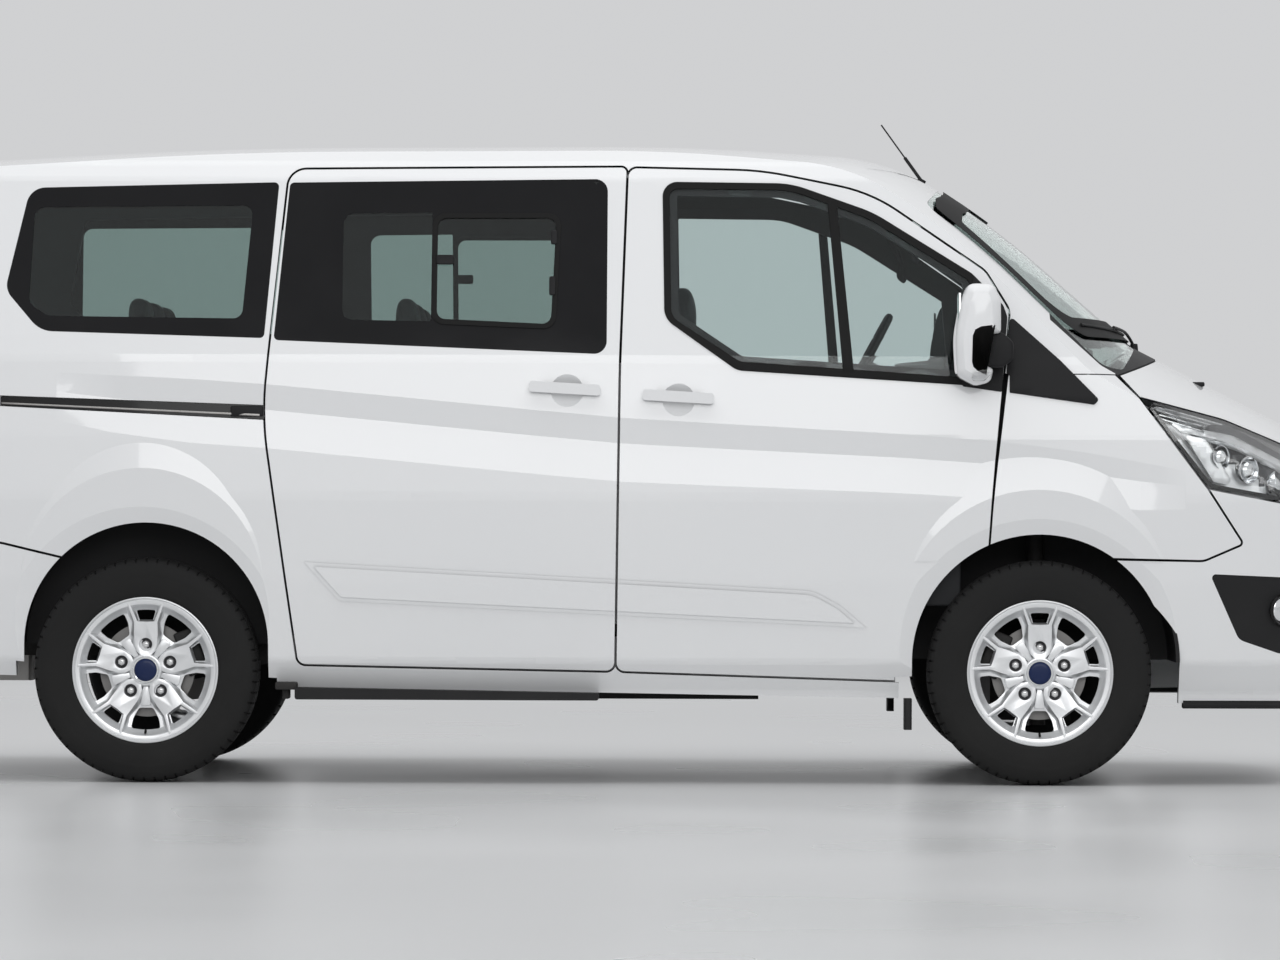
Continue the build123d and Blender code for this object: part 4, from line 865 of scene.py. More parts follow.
HUB_WEDGE = [(50, -8, 3), (112, -17, 6), (112, 17, 6), (50, 8, 3)]
NUT_CIRCLE = 80
NUT_POCKET = [(-120, 0), (-120, 21.5), (-92, 21.5), (-87, 20), (-70, 19.5), (-70, 0)]
# dark cup round each nut at the bottom of its pocket: its dark metal is painted shade of the pocket
NUT_SHADE_CUP = [(-64, 0), (-64, 19.8), (-71, 19.8), (-72, 19), (-72, 16), (-76, 14.5), (-77, 12.0), (-77, 0)]
NUT_HEAD = [(-76, 0), (-76, 12.5), (-87, 12.2), (-90.5, 10.0), (-92.5, 5.5), (-93, 0)]
CAP_RING = [(-80, 33), (-80, 42), (-91, 42), (-93.5, 40.5), (-94.5, 38), (-93.5, 35.6), (-92, 35), (-90, 33)]
CAP_ROWS = [(-84, 0), (-84, 34.6), (-92.6, 34.6), (-93.8, 33.4), (-95.2, 24), (-96, 10), (-96.2, 0)]
DISC_ROWS = [(-28, 40), (-28, 148), (-21, 148), (-21, 120), (-13, 120), (-13, 148), (-6, 148), (-6, 62),
             (-2, 62), (-2, 40)]
BELL_ROWS = [(-50, 33), (-50, 66), (-46, 70), (-29, 70), (-27, 66), (-27, 33)]


def wheel_prism(rows, turn, low, high):
    """Prism through the wheel face: rows are outward from the hub and across, turned about the axle."""
    loop = rounded_outline(rows, 4)
    deselect()
    bpy.ops.mesh.primitive_circle_add(vertices=len(loop), fill_type="NGON")
    prism = bpy.context.object
    for vertex, point in zip(prism.data.vertices, loop):
        out = point.x * math.cos(turn) - point.y * math.sin(turn)
        up = point.x * math.sin(turn) + point.y * math.cos(turn)
        vertex.co = Vector((out, low, up)) * MM
    push_out(prism, (0, high - low, 0))
    return close_up(prism)


def wheel_round(rows, steps, closed=False, centre=(0, 0, 0)):
    """Round piece of the wheel, about the axle or about a line beside it."""
    return spun_piece(rows, centre, (0, 1, 0), (0, 0, 1), steps, closed)


def cut(piece, tool):
    """Cut a tool out of a piece and drop the tool."""
    take(piece)
    modifier = piece.modifiers.new("cut", "BOOLEAN")
    modifier.operation = "DIFFERENCE"
    modifier.solver = "EXACT"
    modifier.object = tool
    bpy.ops.object.modifier_apply(modifier=modifier.name)
    bpy.data.objects.remove(tool)
    return piece


def make_spoke(turn):
    """One forked spoke with a flat face, drafted flanks and two ridged prongs, turned about the axle."""
    labels = list(SPOKE_CORNERS)
    points = [Vector((out, -height, across)) * MM for out, across, height in SPOKE_CORNERS.values()]
    mesh = bpy.data.meshes.new("spoke")
    mesh.from_pydata(points, [], [[labels.index(label) for label in face] for face in SPOKE_FACES])
    spoke = bpy.data.objects.new("spoke", mesh)
    bpy.context.scene.collection.objects.link(spoke)
    add_modifier(spoke, "MIRROR", use_axis=(False, False, True), use_mirror_merge=True,
                 merge_threshold=0.00005)
    cap_ends(spoke)
    spoke.data.transform(Matrix.Rotation(-turn, 4, "Y"))
    return spoke


def build_tyre():
    """Tyre about the axle at the origin, outside towards the right: one pitch of tread, carried round."""
    deselect()
    bpy.ops.mesh.primitive_circle_add(vertices=len(TYRE_ROWS), fill_type="NOTHING")
    tyre = bpy.context.object
    for vertex, (across, radius) in zip(tyre.data.vertices, TYRE_ROWS):
        vertex.co = Vector((0, across, radius)) * MM
    axle = {"center": (0, 0, 0), "axis": (0, 1, 0)}
    pitch = 2 * math.pi / TYRE_PITCHES
    edit_all(tyre)
    bpy.ops.mesh.spin(steps=2, angle=pitch * (1 - SLOT_SHARE), dupli=False, **axle)
    bpy.ops.mesh.spin(steps=1, angle=pitch * SLOT_SHARE, dupli=False, **axle)
    bpy.ops.mesh.select_all(action="SELECT")
    bpy.ops.mesh.normals_make_consistent(inside=False)
    mesh = bmesh.from_edit_mesh(tyre.data)
    turns = sorted({round(math.atan2(v.co.x, v.co.z), 4) for v in mesh.verts}, key=abs)
    for part in mesh.faces:
        middle = part.calc_center_median() / MM
        in_slot = abs(math.atan2(middle.x, middle.z)) > abs(turns[-2])
        on_tread = math.hypot(middle.x, middle.z) > 333
        part.select_set(in_slot and on_tread and (abs(middle.y) > 66 or 24 < abs(middle.y) < 54))
    bmesh.update_edit_mesh(tyre.data)
    bpy.ops.mesh.extrude_region_shrink_fatten(TRANSFORM_OT_shrink_fatten={"value": -SLOT_DEPTH * MM})
    bpy.ops.mesh.select_all(action="SELECT")
    bpy.ops.mesh.spin(steps=TYRE_PITCHES - 1, angle=pitch * (TYRE_PITCHES - 1), dupli=True, **axle)
    bpy.ops.mesh.select_all(action="SELECT")
    bpy.ops.mesh.remove_doubles(threshold=0.00008)
    return close_up(tyre)


def build_wheel_parts():
    """A wheel's parts about the axle at the origin: name, piece, finish, smoothing angle."""
    fifth = 2 * math.pi / 5
    turns = [math.pi / 2 + number * fifth for number in range(5)]
    rim = wheel_round(RIM_ROWS, 120, True)
    tools = []
    for turn in turns:
        tools.append(wheel_prism(FORK_HOLE, turn, -120, -40))
        tools.append(wheel_prism(WIDE_HOLE, turn + fifth / 2, -120, -40))
    cut(rim, join(tools))
    ease(rim, 2.0, 38)
    spokes, seats, nuts = [], [], []
    for turn in turns:
        centre = (NUT_CIRCLE * math.cos(turn), 0, NUT_CIRCLE * math.sin(turn))
        spoke = make_spoke(turn)
        cut(spoke, wheel_round(NUT_POCKET, 32, False, centre))
        spokes.append(ease(spoke, 1.6, 20))
        spokes.append(ease(wheel_prism(HUB_WEDGE, turn + fifth / 2, -58, -78), 5, 40, 3))
        # a dark metal cup at the bottom of each nut pocket, as painted shade of the pocket
        seats.append(wheel_round(NUT_SHADE_CUP, 28, False, centre))
        nuts.append(ease(wheel_round(NUT_HEAD, 6, False, centre), 1.0, 25))
    disc = join([wheel_round(DISC_ROWS, 72, True), wheel_round(BELL_ROWS, 48, True)])
    return (
        ("rim", join([rim] + spokes), "wheel_silver", 24),
        ("nuts", join(nuts), "polished_steel", 40),
        # the cups in the nut pockets, whose dark metal is painted shade
        ("nut_seats", join(seats), "nut_seat", 40),
        ("cap_ring", wheel_round(CAP_RING, 64, True), "chrome", 40),
        ("cap", wheel_round(CAP_ROWS, 64), "cap_blue", 40),
        ("valve", rod_piece((0, -96, -197), (0, -76, -190), 3.4, 4.2, 14, 0.8), "seal_rubber", 40),
        ("brake_disc", disc, "disc_iron", 35),
        ("tyre", build_tyre(), "tyre_rubber", 32),
    )


def build_wheels():
    """All four wheels: the tyre and the rim stand for the solids."""
    for part, model, finish, smooth in build_wheel_parts():
        for label, x in AXLES:
            wheel = clone(model)
            wheel.data.transform(Matrix.Translation(Vector((x, -WHEEL_Y, TYRE_RADIUS)) * MM))
            replaced = ["%s_%s_{s}" % (label, part)] if part in ("rim", "tyre") else []
            both(wheel, label + "_wheel_" + part, finish, label + "_wheel_{s}", smooth, replaced)
        bpy.data.objects.remove(model)


# on each axle: turn about the axle in degrees, and the body that carries it
CALLIPERS = ((158, "knuckle_{s}"), (22, "body"))
CALLIPER_RADIUS = 150


def build_callipers():
    """Brake callipers behind the wheel's windows: front ones on the knuckles, rear ones on the axle."""
    for (label, x), (degrees, body) in zip(AXLES, CALLIPERS):
        turn = math.radians(degrees)
        outer = box_piece((-34, -WHEEL_Y - 46, -72), (34, -WHEEL_Y - 31, 72), 7, 3)
        inner = box_piece((-38, -WHEEL_Y - 3, -62), (38, -WHEEL_Y + 34, 62), 9, 3)
        bridge = box_piece((14, -WHEEL_Y - 40, -66), (34, -WHEEL_Y + 20, 66), 5, 2)
        piston = rod_piece((0, -WHEEL_Y + 30, 0), (0, -WHEEL_Y + 52, 0), 30, 27, 32, 3)
        calliper = join([outer, inner, bridge, piston])
        place = Vector((x + CALLIPER_RADIUS * math.cos(turn), 0,
                        TYRE_RADIUS + CALLIPER_RADIUS * math.sin(turn)))
        calliper.data.transform(Matrix.Translation(place * MM) @ Matrix.Rotation(-turn, 4, "Y"))
        both(calliper, label + "_calliper", "chassis_iron", body, 35)


# --- the side's surface
# distance of the plain side surface from the centre plane at heights, millimetres
SIDE_WIDTHS = [(290, 915), (385, 964), (640, 988), (900, 993), (1090, 985), (1330, 966), (1400, 948),
               (1900, 806), (1955, 770), (2010, 640)]
# the side bows inwards from this place, by the square of the distance over this
BOW_MIDDLE, BOW = -100, 80000


def side_y(x, z):
    """Half width of the plain side surface at a place, in millimetres."""
    for (low_z, low_w), (high_z, high_w) in zip(SIDE_WIDTHS, SIDE_WIDTHS[1:]):
        if z <= high_z:
            break
    width = low_w + (high_w - low_w) * (z - low_z) / (high_z - low_z)
    return width - (x - BOW_MIDDLE) ** 2 / BOW


def on_side(rows, sunk, thick, crown=0.0):
    """Panel that follows the plain side surface at a depth under it."""
    piece = flat_plate("side", 0, rows, (), 60)
    for vertex in piece.data.vertices:
        vertex.co.y = -(side_y(vertex.co.x / MM, vertex.co.z / MM) - sunk) * MM
    return thicken(piece, thick, crown)


# --- door mirrors
MIRROR_SHELL = [(1154, 1280, 36), (1147, 1400, 300), (1166, 1504, 60), (1188, 1566, 34), (1270, 1566, 30),
                (1292, 1516, 50), (1294, 1412, 12), (1232, 1404, 8), (1230, 1320, 8), (1270, 1300, 10),
                (1262, 1260, 26), (1214, 1248, 30)]
MIRROR_ARM = [(1222, 1308, 8), (1224, 1408, 8), (1298, 1416, 22), (1334, 1384, 24), (1334, 1330, 16),
              (1300, 1306, 14)]
MIRROR_FOOT = [(1200, 1262, 8), (1240, 1262, 8), (1262, 1284, 8), (1254, 1300, 8), (1206, 1292, 8)]
# how far each step of the crowned cap goes in and out
MIRROR_CROWN = ((4, 13), (8, 11), (16, 9))


def build_mirrors():
    """Housing with a crowned cap, the glass, the arm to the sail panel and a turn indicator."""
    shell = flat_plate("side", 985, MIRROR_SHELL)
    push_out(shell, (0, -108, 0))
    for shrink, depth in MIRROR_CROWN:
        bpy.ops.mesh.inset(thickness=shrink * MM, depth=depth * MM)
    close_up(shell)
    cut(shell, box_piece((1130, -1104, 1286), (1168, -1000, 1540), 8, 3))
    ease(shell, 5, 25, 3)
    both(shell, "mirror_housing", "body_paint", "front_door_{s}", 50, ["mirror_{s}"])
    inner = box_piece((1161, -1102, 1288), (1169, -1002, 1538), 3)
    both(inner, "mirror_glass", "chrome", "front_door_{s}")
    arm = flat_plate("side", 930, MIRROR_ARM)
    push_out(arm, (0, -152, 0))
    both(ease(close_up(arm), 11, 60, 4), "mirror_arm", "black_plastic", "front_door_{s}")
    housing = object_tree(bpy.data.objects["mirror_housing_right"])
    indicator = laid("side", MIRROR_FOOT, housing, 1.5, 5, 1.5, (), 12)
    both(indicator, "mirror_indicator", "lens_clear", "front_door_{s}")


# --- headlamps
LENS = [(1746, 1211, 16), (2017, 1147, 300), (2173, 1085, 200), (2420, 988, 0), (2420, 848, 0),
        (2172, 894, 60), (1953, 935, 30)]
LENS_RIM = [(1764, 1199, 10), (2017, 1136, 300), (2173, 1073, 200), (2390, 985, 8), (2390, 862, 8),
            (2172, 908, 60), (1962, 946, 24)]
FINS = [(1779, 1191, 2006, 1134), (1787, 1178, 2000, 1124), (1796, 1164, 1975, 1118),
        (1806, 1150, 1940, 1112)]
WEDGE_PANEL = [(1875, 1101, 6), (1942, 1088, 6), (2036, 938, 14), (1968, 952, 12)]
BAND = [(1812, 1150, 10), (1906, 1119, 60), (2036, 1097, 80), (2181, 1024, 100), (2300, 950, 6),
        (2300, 926, 6), (2181, 1000, 100), (2050, 1064, 80), (1945, 1093, 20), (1868, 1106, 20)]
BROW = [(1906, 1121, 10), (1966, 1133, 60), (2036, 1128, 60), (2181, 1047, 100), (2300, 985, 10),
        (2300, 952, 10), (2181, 1026, 100), (2036, 1099, 80)]
LAMP_POCKET = [(1950, 1086, 6), (2050, 1062, 60), (2181, 998, 100), (2300, 924, 6), (2300, 876, 6),
               (2120, 912, 60), (2045, 932, 12)]
LAMP_BOWLS = [(2013, 1030, 38, 30), (2100, 990, 44, 34), (2200, 950, 42, 32)]
# layers of the lamp: name, outline, holes, lift, thickness, crown, finish
LAMP_LAYERS = (
    ("headlamp_lens", LENS, (), 0, 3, 0, "lens_clear"),
    ("headlamp_edge", LENS, (LENS_RIM,), -3.2, 40, 0, "gloss_black"),
    ("headlamp_housing", LENS, (), 0, 4, 0, "wheel_silver"),
    ("headlamp_wedge", WEDGE_PANEL, (), -12, 22, 2, "wheel_silver"),
    ("headlamp_brow", BROW, (), -8, 14, 2, "lamp_grey"),
    ("headlamp_band", BAND, (), -11, 16, 2, "wheel_silver"),
    ("headlamp_pocket", LAMP_POCKET, (), -66, 6, 1, "lamp_grey"),
)
HOUSING_SHIFT = (-42, 62, -6)
GRILLE_HALF = 472


def build_headlamps():
    """Clear lens over a black-edged housing with fins, a wedge panel, a brow and chromed bowls."""
    trees = panel_tree("headlamps", "grille", "wings", "front_bumper", "bonnet")
    for name, rows, holes, lift, thick, crown, finish in LAMP_LAYERS:
        sheet = flat_plate("side", 0, rows, holes, 25)
        lay_on(sheet, trees, "side", lift)
        # what lies inside the grille's half width is dropped
        edit_all(sheet)
        bpy.ops.mesh.bisect(plane_co=(0, -GRILLE_HALF * MM, 0), plane_no=(0, 1, 0), clear_outer=True)
        bpy.ops.object.mode_set(mode="OBJECT")
        if name == "headlamp_housing":
            sheet.data.transform(Matrix.Translation(Vector(HOUSING_SHIFT) * MM))
        thicken(sheet, thick, crown)
        both(sheet, name, finish, "body", 40, ["headlamps"] if name == "headlamp_lens" else ())
    fins = []
    for x1, z1, x2, z2 in FINS:
        rows = [(x1, z1, 0), (x2, z2, 0), (x2, z2 - 4, 0), (x1 + 3, z1 - 4, 0)]
        fins.append(laid("side", rows, trees, -9, 9))
    both(join(fins), "headlamp_fins", "wheel_silver", "body", 40, (), "lamp_clear")
    bowls, domes = [], []
    for x, z, radius, dome in LAMP_BOWLS:
        place, normal, across = facing_forward(trees, x, z, 0.9)
        centre = place - normal * 40
        rows = [(-30, 12), (-26, radius * 0.6), (-12, radius * 0.86), (10, radius), (13, radius),
                (13, radius - 3), (9, radius - 4), (-11, radius * 0.8), (-24, radius * 0.5), (-27, 0)]
        bowls.append(spun_piece(rows, centre, normal, across, 48))
        rows = [(-20, 0), (-20, dome * 0.8), (6, dome * 0.84), (12, dome * 0.78), (20, dome * 0.52),
                (24, dome * 0.2), (24.6, 0)]
        domes.append(spun_piece(rows, centre, normal, across, 40))
    both(join(bowls), "headlamp_bowls", "chrome", "body")
    both(join(domes), "headlamp_projectors", "chrome", "body", 40, (), "lamp_clear")


# --- nose
FOG_RING = [(-14, 40), (8, 52), (14, 50), (15, 46), (10, 42), (-14, 38)]
FOG_LENS = [(-10, 0), (-10, 39), (4, 40), (8, 36), (12, 22), (13.5, 0)]
LIP_HEIGHT = 285
LIP_SIDE = (1880, 1930, 1980, 2030, 2080, 2130, 2180, 2220)
LIP_FRONT = (-760, -700, -600, -480, -340, -180)
LIP_ROWS = [(-34, 266), (-8, 268), (1, 261), (5, 252), (3, 244), (-8, 240), (-40, 244)]


def build_nose():
    """Fog lamps in the black inserts, the lip under the bumper and the washer jets."""
    place, normal, across = facing_forward(panel_tree("bumper_inserts", "front_bumper"), 2186, 552, 0.7)
    centre = place - normal * 4
    ring = spun_piece(FOG_RING, centre, normal, across, 48, True)
    lens = spun_piece(FOG_LENS, centre, normal, across, 48)
    both(ring, "fog_lamp_ring", "gloss_black", "body")
    both(lens, "fog_lamp_lens", "reflector_silver", "body")
    bumper = panel_tree("front_bumper")
    line = [find(bumper, (x, -3000, LIP_HEIGHT), (0, 1, 0))[0] for x in LIP_SIDE]
    line += [find(bumper, (4000, y, LIP_HEIGHT), (-1, 0, 0))[0] for y in LIP_FRONT]
    line = [place for place in line if place is not None]
    line += [Vector((p.x, -p.y, p.z)) for p in reversed(line[:-1])]
    sweep(line, LIP_ROWS, "bumper_lip", "black_plastic")
    bonnet = panel_tree("bonnet")
    jets = []
    for y in (-330, 330):
        place = find(bonnet, (1966, y, 3000), (0, 0, -1))[0]
        jets.append(box_piece(place - Vector((24, 13, 6)), place + Vector((20, 13, 9)), 5, 3))
    dress(join(jets), "washer_jets", "black_plastic", "bonnet")


def sweep(line, section, name, finish):
    """Strip that follows a line on the outside of the body; section rows are outward and height."""
    deselect()
    bpy.ops.mesh.primitive_grid_add(x_subdivisions=len(section), y_subdivisions=len(line) - 1, size=1)
    strip = bpy.context.object
    columns = len(section) + 1
    for row, place in enumerate(line):
        along = line[min(row + 1, len(line) - 1)] - line[max(row - 1, 0)]
        outward = Vector((along.y, -along.x, 0)).normalized()
        for column in range(columns):
            out, height = section[column % len(section)]
            point = place + outward * out
            strip.data.vertices[row * columns + column].co = Vector((point.x, point.y, height)) * MM
    clean(strip, 0.00005)
    return dress(cap_ends(strip), name, finish, "body", 35)


# --- windscreen, wipers
SCREEN_BORDER = [(-790, 1412, 70), (790, 1412, 70), (768, 1560, 0), (748, 1670, 0), (700, 1818, 50),
                 (560, 1856, 200), (220, 1893, 400), (-220, 1893, 400), (-560, 1856, 200), (-700, 1818, 50),
                 (-748, 1670, 0), (-768, 1560, 0)]
SCREEN_CLEAR = [(-738, 1474, 60), (738, 1474, 60), (700, 1660, 0), (650, 1776, 50), (520, 1808, 100),
                (200, 1840, 60), (120, 1846, 10), (90, 1800, 10), (-90, 1800, 10), (-120, 1846, 10),
                (-200, 1840, 60), (-520, 1808, 100), (-650, 1776, 50), (-700, 1660, 0)]
# wipers: pivot across, and how far the blade reaches
WIPERS = ((560, -640), (-80, -600))
PARKED_HEIGHT, PARKED_RISE = 1425, 18


def build_windscreen():
    """Printed border of the pane, and two parked wipers."""
    screen = panel_tree("windscreen")
    border = laid("front", SCREEN_BORDER, screen, 0.8, 1.2, 0, [SCREEN_CLEAR], 40)
    dress(border, "windscreen_border", "seal_rubber", "body", 30, (), "clear_glass")
    pieces = []
    for pivot_y, reach in WIPERS:
        blade = []
        for share in (0.0, 0.25, 0.5, 0.75, 1.0):
            start = (4000, pivot_y + reach * share, PARKED_HEIGHT + PARKED_RISE * share)
            place, normal = find(screen, start, (-1, 0, 0))
            blade.append(place + normal * 12)
        root = blade[0] + Vector((35, 0, -38))
        arm = [root, blade[0] + Vector((14, 0, 6)), (blade[1] + blade[2]) / 2 + Vector((8, 0, 8)),
               blade[2] + Vector((6, 0, 8))]
        pieces.append(tube_piece(arm, 5))
        pieces.append(rod_piece(root + Vector((0, 0, -22)), root + Vector((0, 0, 10)), 15, 12, 20, 3))
        pieces.append(tube_piece(blade, 4.5))
    dress(join(pieces), "windscreen_wipers", "black_plastic", "body")


# --- sides below the windows
TRACK_RAIL = [(-1834, 1190, 0), (-1020, 1155, 0), (-1020, 1148, 0), (-1834, 1184, 0)]


def build_side_fittings():
    """Lining and rail of the door track, its stop, and the step's bracket."""
    both(on_side(RAIL_COVER, 12, 30), "door_track", "gloss_black", "body", 30)
    both(on_side(TRACK_RAIL, 6, 8, 1), "door_track_rail", "bare_steel", "body", 30)
    stop = box_piece((-1112, -962, 1146), (-1008, -940, 1180), 6, 3)
    both(stop, "door_track_stop", "black_plastic", "body")
    bracket = box_piece((-968, -975, 292), (-900, -900, 316), 5)
    arm = box_piece((-948, -930, 262), (-926, -860, 300), 4)
    both(join([bracket, arm]), "step_bracket", "chassis_iron", "body")


# --- tail
TAIL_BORDER = [(-722, 1374, 60), (722, 1374, 60), (640, 1878, 80), (-640, 1878, 80)]
TAIL_CLEAR = [(-640, 1440, 50), (640, 1440, 50), (580, 1810, 60), (-580, 1810, 60)]
STOP_LAMP = [(-190, 1900, 8), (190, 1900, 8), (186, 1926, 8), (-186, 1926, 8)]
GRIP = [(-270, 1216, 10), (270, 1216, 10), (262, 1262, 16), (-262, 1262, 16)]
INDICATOR = [(806, 1010, 10), (930, 1010, 10), (925, 1100, 10), (805, 1100, 10)]
REVERSE = [(806, 905, 10), (930, 905, 10), (930, 1000, 10), (806, 1000, 10)]
STOP = [(803, 1110, 10), (922, 1110, 10), (908, 1300, 20), (798, 1300, 20)]
REFLECTOR = [(640, 480, 6), (780, 480, 6), (780, 510, 6), (640, 510, 6)]
BUMPER_PAD = [(-2352, -560, 10), (-2352, 560, 10), (-2296, 600, 10), (-2296, -600, 10)]
WIPER_HUB = 1352


def build_tail():
    """Fittings of the tailgate, the tail lamps' lenses, and the bumper's pad and reflectors."""
    glass_tree = panel_tree("tailgate_glass")
    border = laid("rear", TAIL_BORDER, glass_tree, 0.8, 1.2, 0, [TAIL_CLEAR], 40)
    dress(border, "tail_window_border", "frit_black", "tailgate", 30)
    gate = panel_tree("tailgate", "tailgate_glass")
    dress(laid("rear", STOP_LAMP, gate, 5, 10, 2), "high_stop_lamp", "lens_red", "tailgate")
    dress(laid("rear", GRIP, gate, 13, 18, 4), "tailgate_grip", "gloss_black", "tailgate")

    def behind(across, up, out):
        return find(gate, (-4000, across, up), (1, 0, 0))[0] - Vector((out, 0, 0))

    arm = [behind(330 * share, WIPER_HUB + 100 * share, 26 - 8 * share) for share in (0.0, 0.3, 0.65, 1.0)]
    blade = [behind(60 + 420 * share, 1410 + 90 * share, 10) for share in (0.0, 0.5, 1.0)]
    hub = rod_piece(behind(0, WIPER_HUB, -6), behind(0, WIPER_HUB, 32), 26, 20, 24, 4)
    wiper = join([hub, tube_piece(arm, 6), tube_piece(blade, 6)])
    dress(wiper, "tail_wiper", "black_plastic", "tailgate")
    lamps = panel_tree("tail_lamps", "body_side_right")
    for name, rows, finish in (("tail_lamp_indicator", INDICATOR, "lens_amber"),
                               ("tail_lamp_reverse", REVERSE, "lens_clear"),
                               ("tail_lamp_stop", STOP, "lens_red")):
        both(laid("rear", rows, lamps, 2, 4, 1.5), name, finish, "body")
    bumper = panel_tree("rear_bumper")
    pad = laid("top", BUMPER_PAD, bumper, 3, 6, 1.5, (), 40)
    dress(pad, "rear_bumper_pad", "black_plastic", "body")
    both(laid("rear", REFLECTOR, bumper, 3, 6, 1.5), "rear_reflector", "lens_red", "body")


# --- seats
# name, node, hip x, hip z, half width of a seat, seat middles
SEAT_ROWS = [
    ("front_seat", "front_seats", 480, 900, 250, (-430, 430)),
    ("middle_seat", "second_row_seats", -400, 860, 235, (-520, 0, 520)),
    ("rear_seat", "third_row_seats", -1260, 860, 215, (-450, 0, 450)),
]
CUSHION = [(-80, -142, 30), (392, -142, 40), (410, -52, 40), (60, -80, 60), (-60, -60, 30)]
BACKREST = [(-72, -60, 40), (48, -40, 50), (28, 60, 60), (-118, 468, 34), (-192, 468, 34), (-128, 60, 60)]
HEAD_PAD = [(-207, 528, 22), (-136, 528, 22), (-148, 668, 30), (-208, 672, 26)]
SEAT_SHELL = [(-92, -150, 20), (402, -150, 20), (408, -104, 20), (60, -110, 40), (-84, -70, 40),
              (-150, 60, 60), (-196, 440, 10), (-206, 440, 10), (-150, -40, 60)]
# half width of the pads that are filled; each seat's own width scales them
PAD_HALF = 235
# a pad narrows above this height, over this much more, in metres
TAPER_START, TAPER_HEIGHT = 0.1, 0.5
CLOTH_FRAMES = 14
SEAM_DEPTH, SEAM_WIDTH = 9, 16


def pad_block(rows, half, taper):
    """Plain start of a cushion: a side outline carried across the seat and rounded."""
    block = flat_plate("side", half, rows)
    push_out(block, (0, 2 * half, 0))
    close_up(block)
    for vertex in block.data.vertices:
        share = min(max((vertex.co.z - TAPER_START) / TAPER_HEIGHT, 0), 1)
        vertex.co.y *= 1 - taper * share
    return ease(block, 24, 50, 4)


def stuff(block, voxel, limit):
    """Fill a pad by cloth pressure, and hold how far each point may move."""
    add_modifier(block, "REMESH", mode="VOXEL", voxel_size=voxel * MM)
    start = [v.co.copy() for v in block.data.vertices]
    take(block)
    cloth = block.modifiers.new("filling", "CLOTH")
    cloth.settings.use_pressure = True
    cloth.settings.uniform_pressure_force = 4
    cloth.settings.effector_weights.gravity = 0
    cloth.settings.quality = 4
    for number in range(1, CLOTH_FRAMES + 1):
        bpy.context.scene.frame_set(number)
    bpy.ops.object.modifier_apply(modifier=cloth.name)
    bpy.context.scene.frame_set(1)
    for vertex, place in zip(block.data.vertices, start):
        move = vertex.co - place
        if move.length > limit * MM:
            vertex.co = place + move.normalized() * limit * MM
    add_modifier(block, "SMOOTH", factor=0.5, iterations=4)
    return block


def sew(pad, places):
    """Press sewn channels into a filled pad at places across it."""
    for vertex in pad.data.vertices:
        across = vertex.co.y / MM
        for place in places:
            near = abs(across - place) / SEAM_WIDTH
            if near < 1:
                vertex.co += -vertex.normal * SEAM_DEPTH * MM * (1 - near) ** 2
    return pad


def build_seats():
    """Three rows of seats: each cushion, backrest and head rest is filled cloth, on a grey base."""
    cushion = sew(stuff(pad_block(CUSHION, PAD_HALF - 8, 0.0), 15, 22), (-140, 140))
    back = sew(stuff(pad_block(BACKREST, PAD_HALF - 10, 0.14), 15, 22), (-125, 125))
    rest = stuff(pad_block(HEAD_PAD, 112, 0.1), 9, 12)
    # part, its shape, how full it is
    shapes = (("cushion", cushion, 0.8), ("backrest", back, 0.75), ("head_rest", rest, 0.85))
    for _, shape, _ in shapes:
        add_modifier(shape, "SUBSURF", levels=1, render_levels=1)
    for row, node, hip_x, hip_z, width, middles in SEAT_ROWS:
        for number, middle in enumerate(middles, 1):
            name = "%s_%d_" % (row, number)
            place = Matrix.Translation(Vector((hip_x, middle, hip_z)) * MM)
            for part, shape, fill in shapes:
                pad = clone(shape)
                wide = 1.0 if part == "head_rest" else width / PAD_HALF
                pad.data.transform(place @ Matrix.Diagonal((1, wide, 1, 1)))
                replaced = [node] if part == "cushion" and number == 1 else []
                dress(pad, name + part, "seat_cloth", "body", 60, replaced)
            posts = []
            for y in (middle - 60, middle + 60):
                posts.append(rod_piece((hip_x - 168, y, hip_z + 440), (hip_x - 172, y, hip_z + 540), 6.5,
                                       6.5, 14))
            dress(join(posts), name + "posts", "chrome", "body")
            half = width - 30
            base = box_piece((hip_x - 60, middle - half, 502), (hip_x + 320, middle + half, hip_z - 132),
                             24, 3)
            shell = flat_plate("side", width - 22, SEAT_SHELL)
            push_out(shell, (0, 2 * (width - 22), 0))
            close_up(shell).data.transform(place)
            dress(join([base, ease(shell, 6, 50)]), name + "base", "trim_grey", "body")
    for _, shape, _ in shapes:
        bpy.data.objects.remove(shape)


# --- cabin
# half of the carpet's outline, from the tail forwards
CARPET = [(-2090, 690, 10), (-1800, 860, 10), (-1795, 690, 10), (-955, 690, 10), (-950, 860, 10),
          (80, 860, 10), (90, 850, 10), (975, 850, 10), (978, 535, 10), (1320, 535, 10)]
CARPET_TOP = 504.5
HOOD_ROWS = [(0, 60), (0, 64), (150, 72), (156, 70), (156, 60)]
HOOD_PLACE = (1010, 400, 1290)
GRAB_HANDLE = [(1052, -772, 1640), (1030, -752, 1650), (1046, -742, 1690), (1000, -716, 1790),
               (960, -704, 1840), (960, -722, 1862)]
BELT = [(86, 900, 0), (132, 900, 0), (112, 1700, 0), (70, 1700, 0)]
BELT_FOOT, BELT_LEAN, BELT_BOTTOM, BELT_LENGTH = 0.786, 0.120, 0.9, 0.8


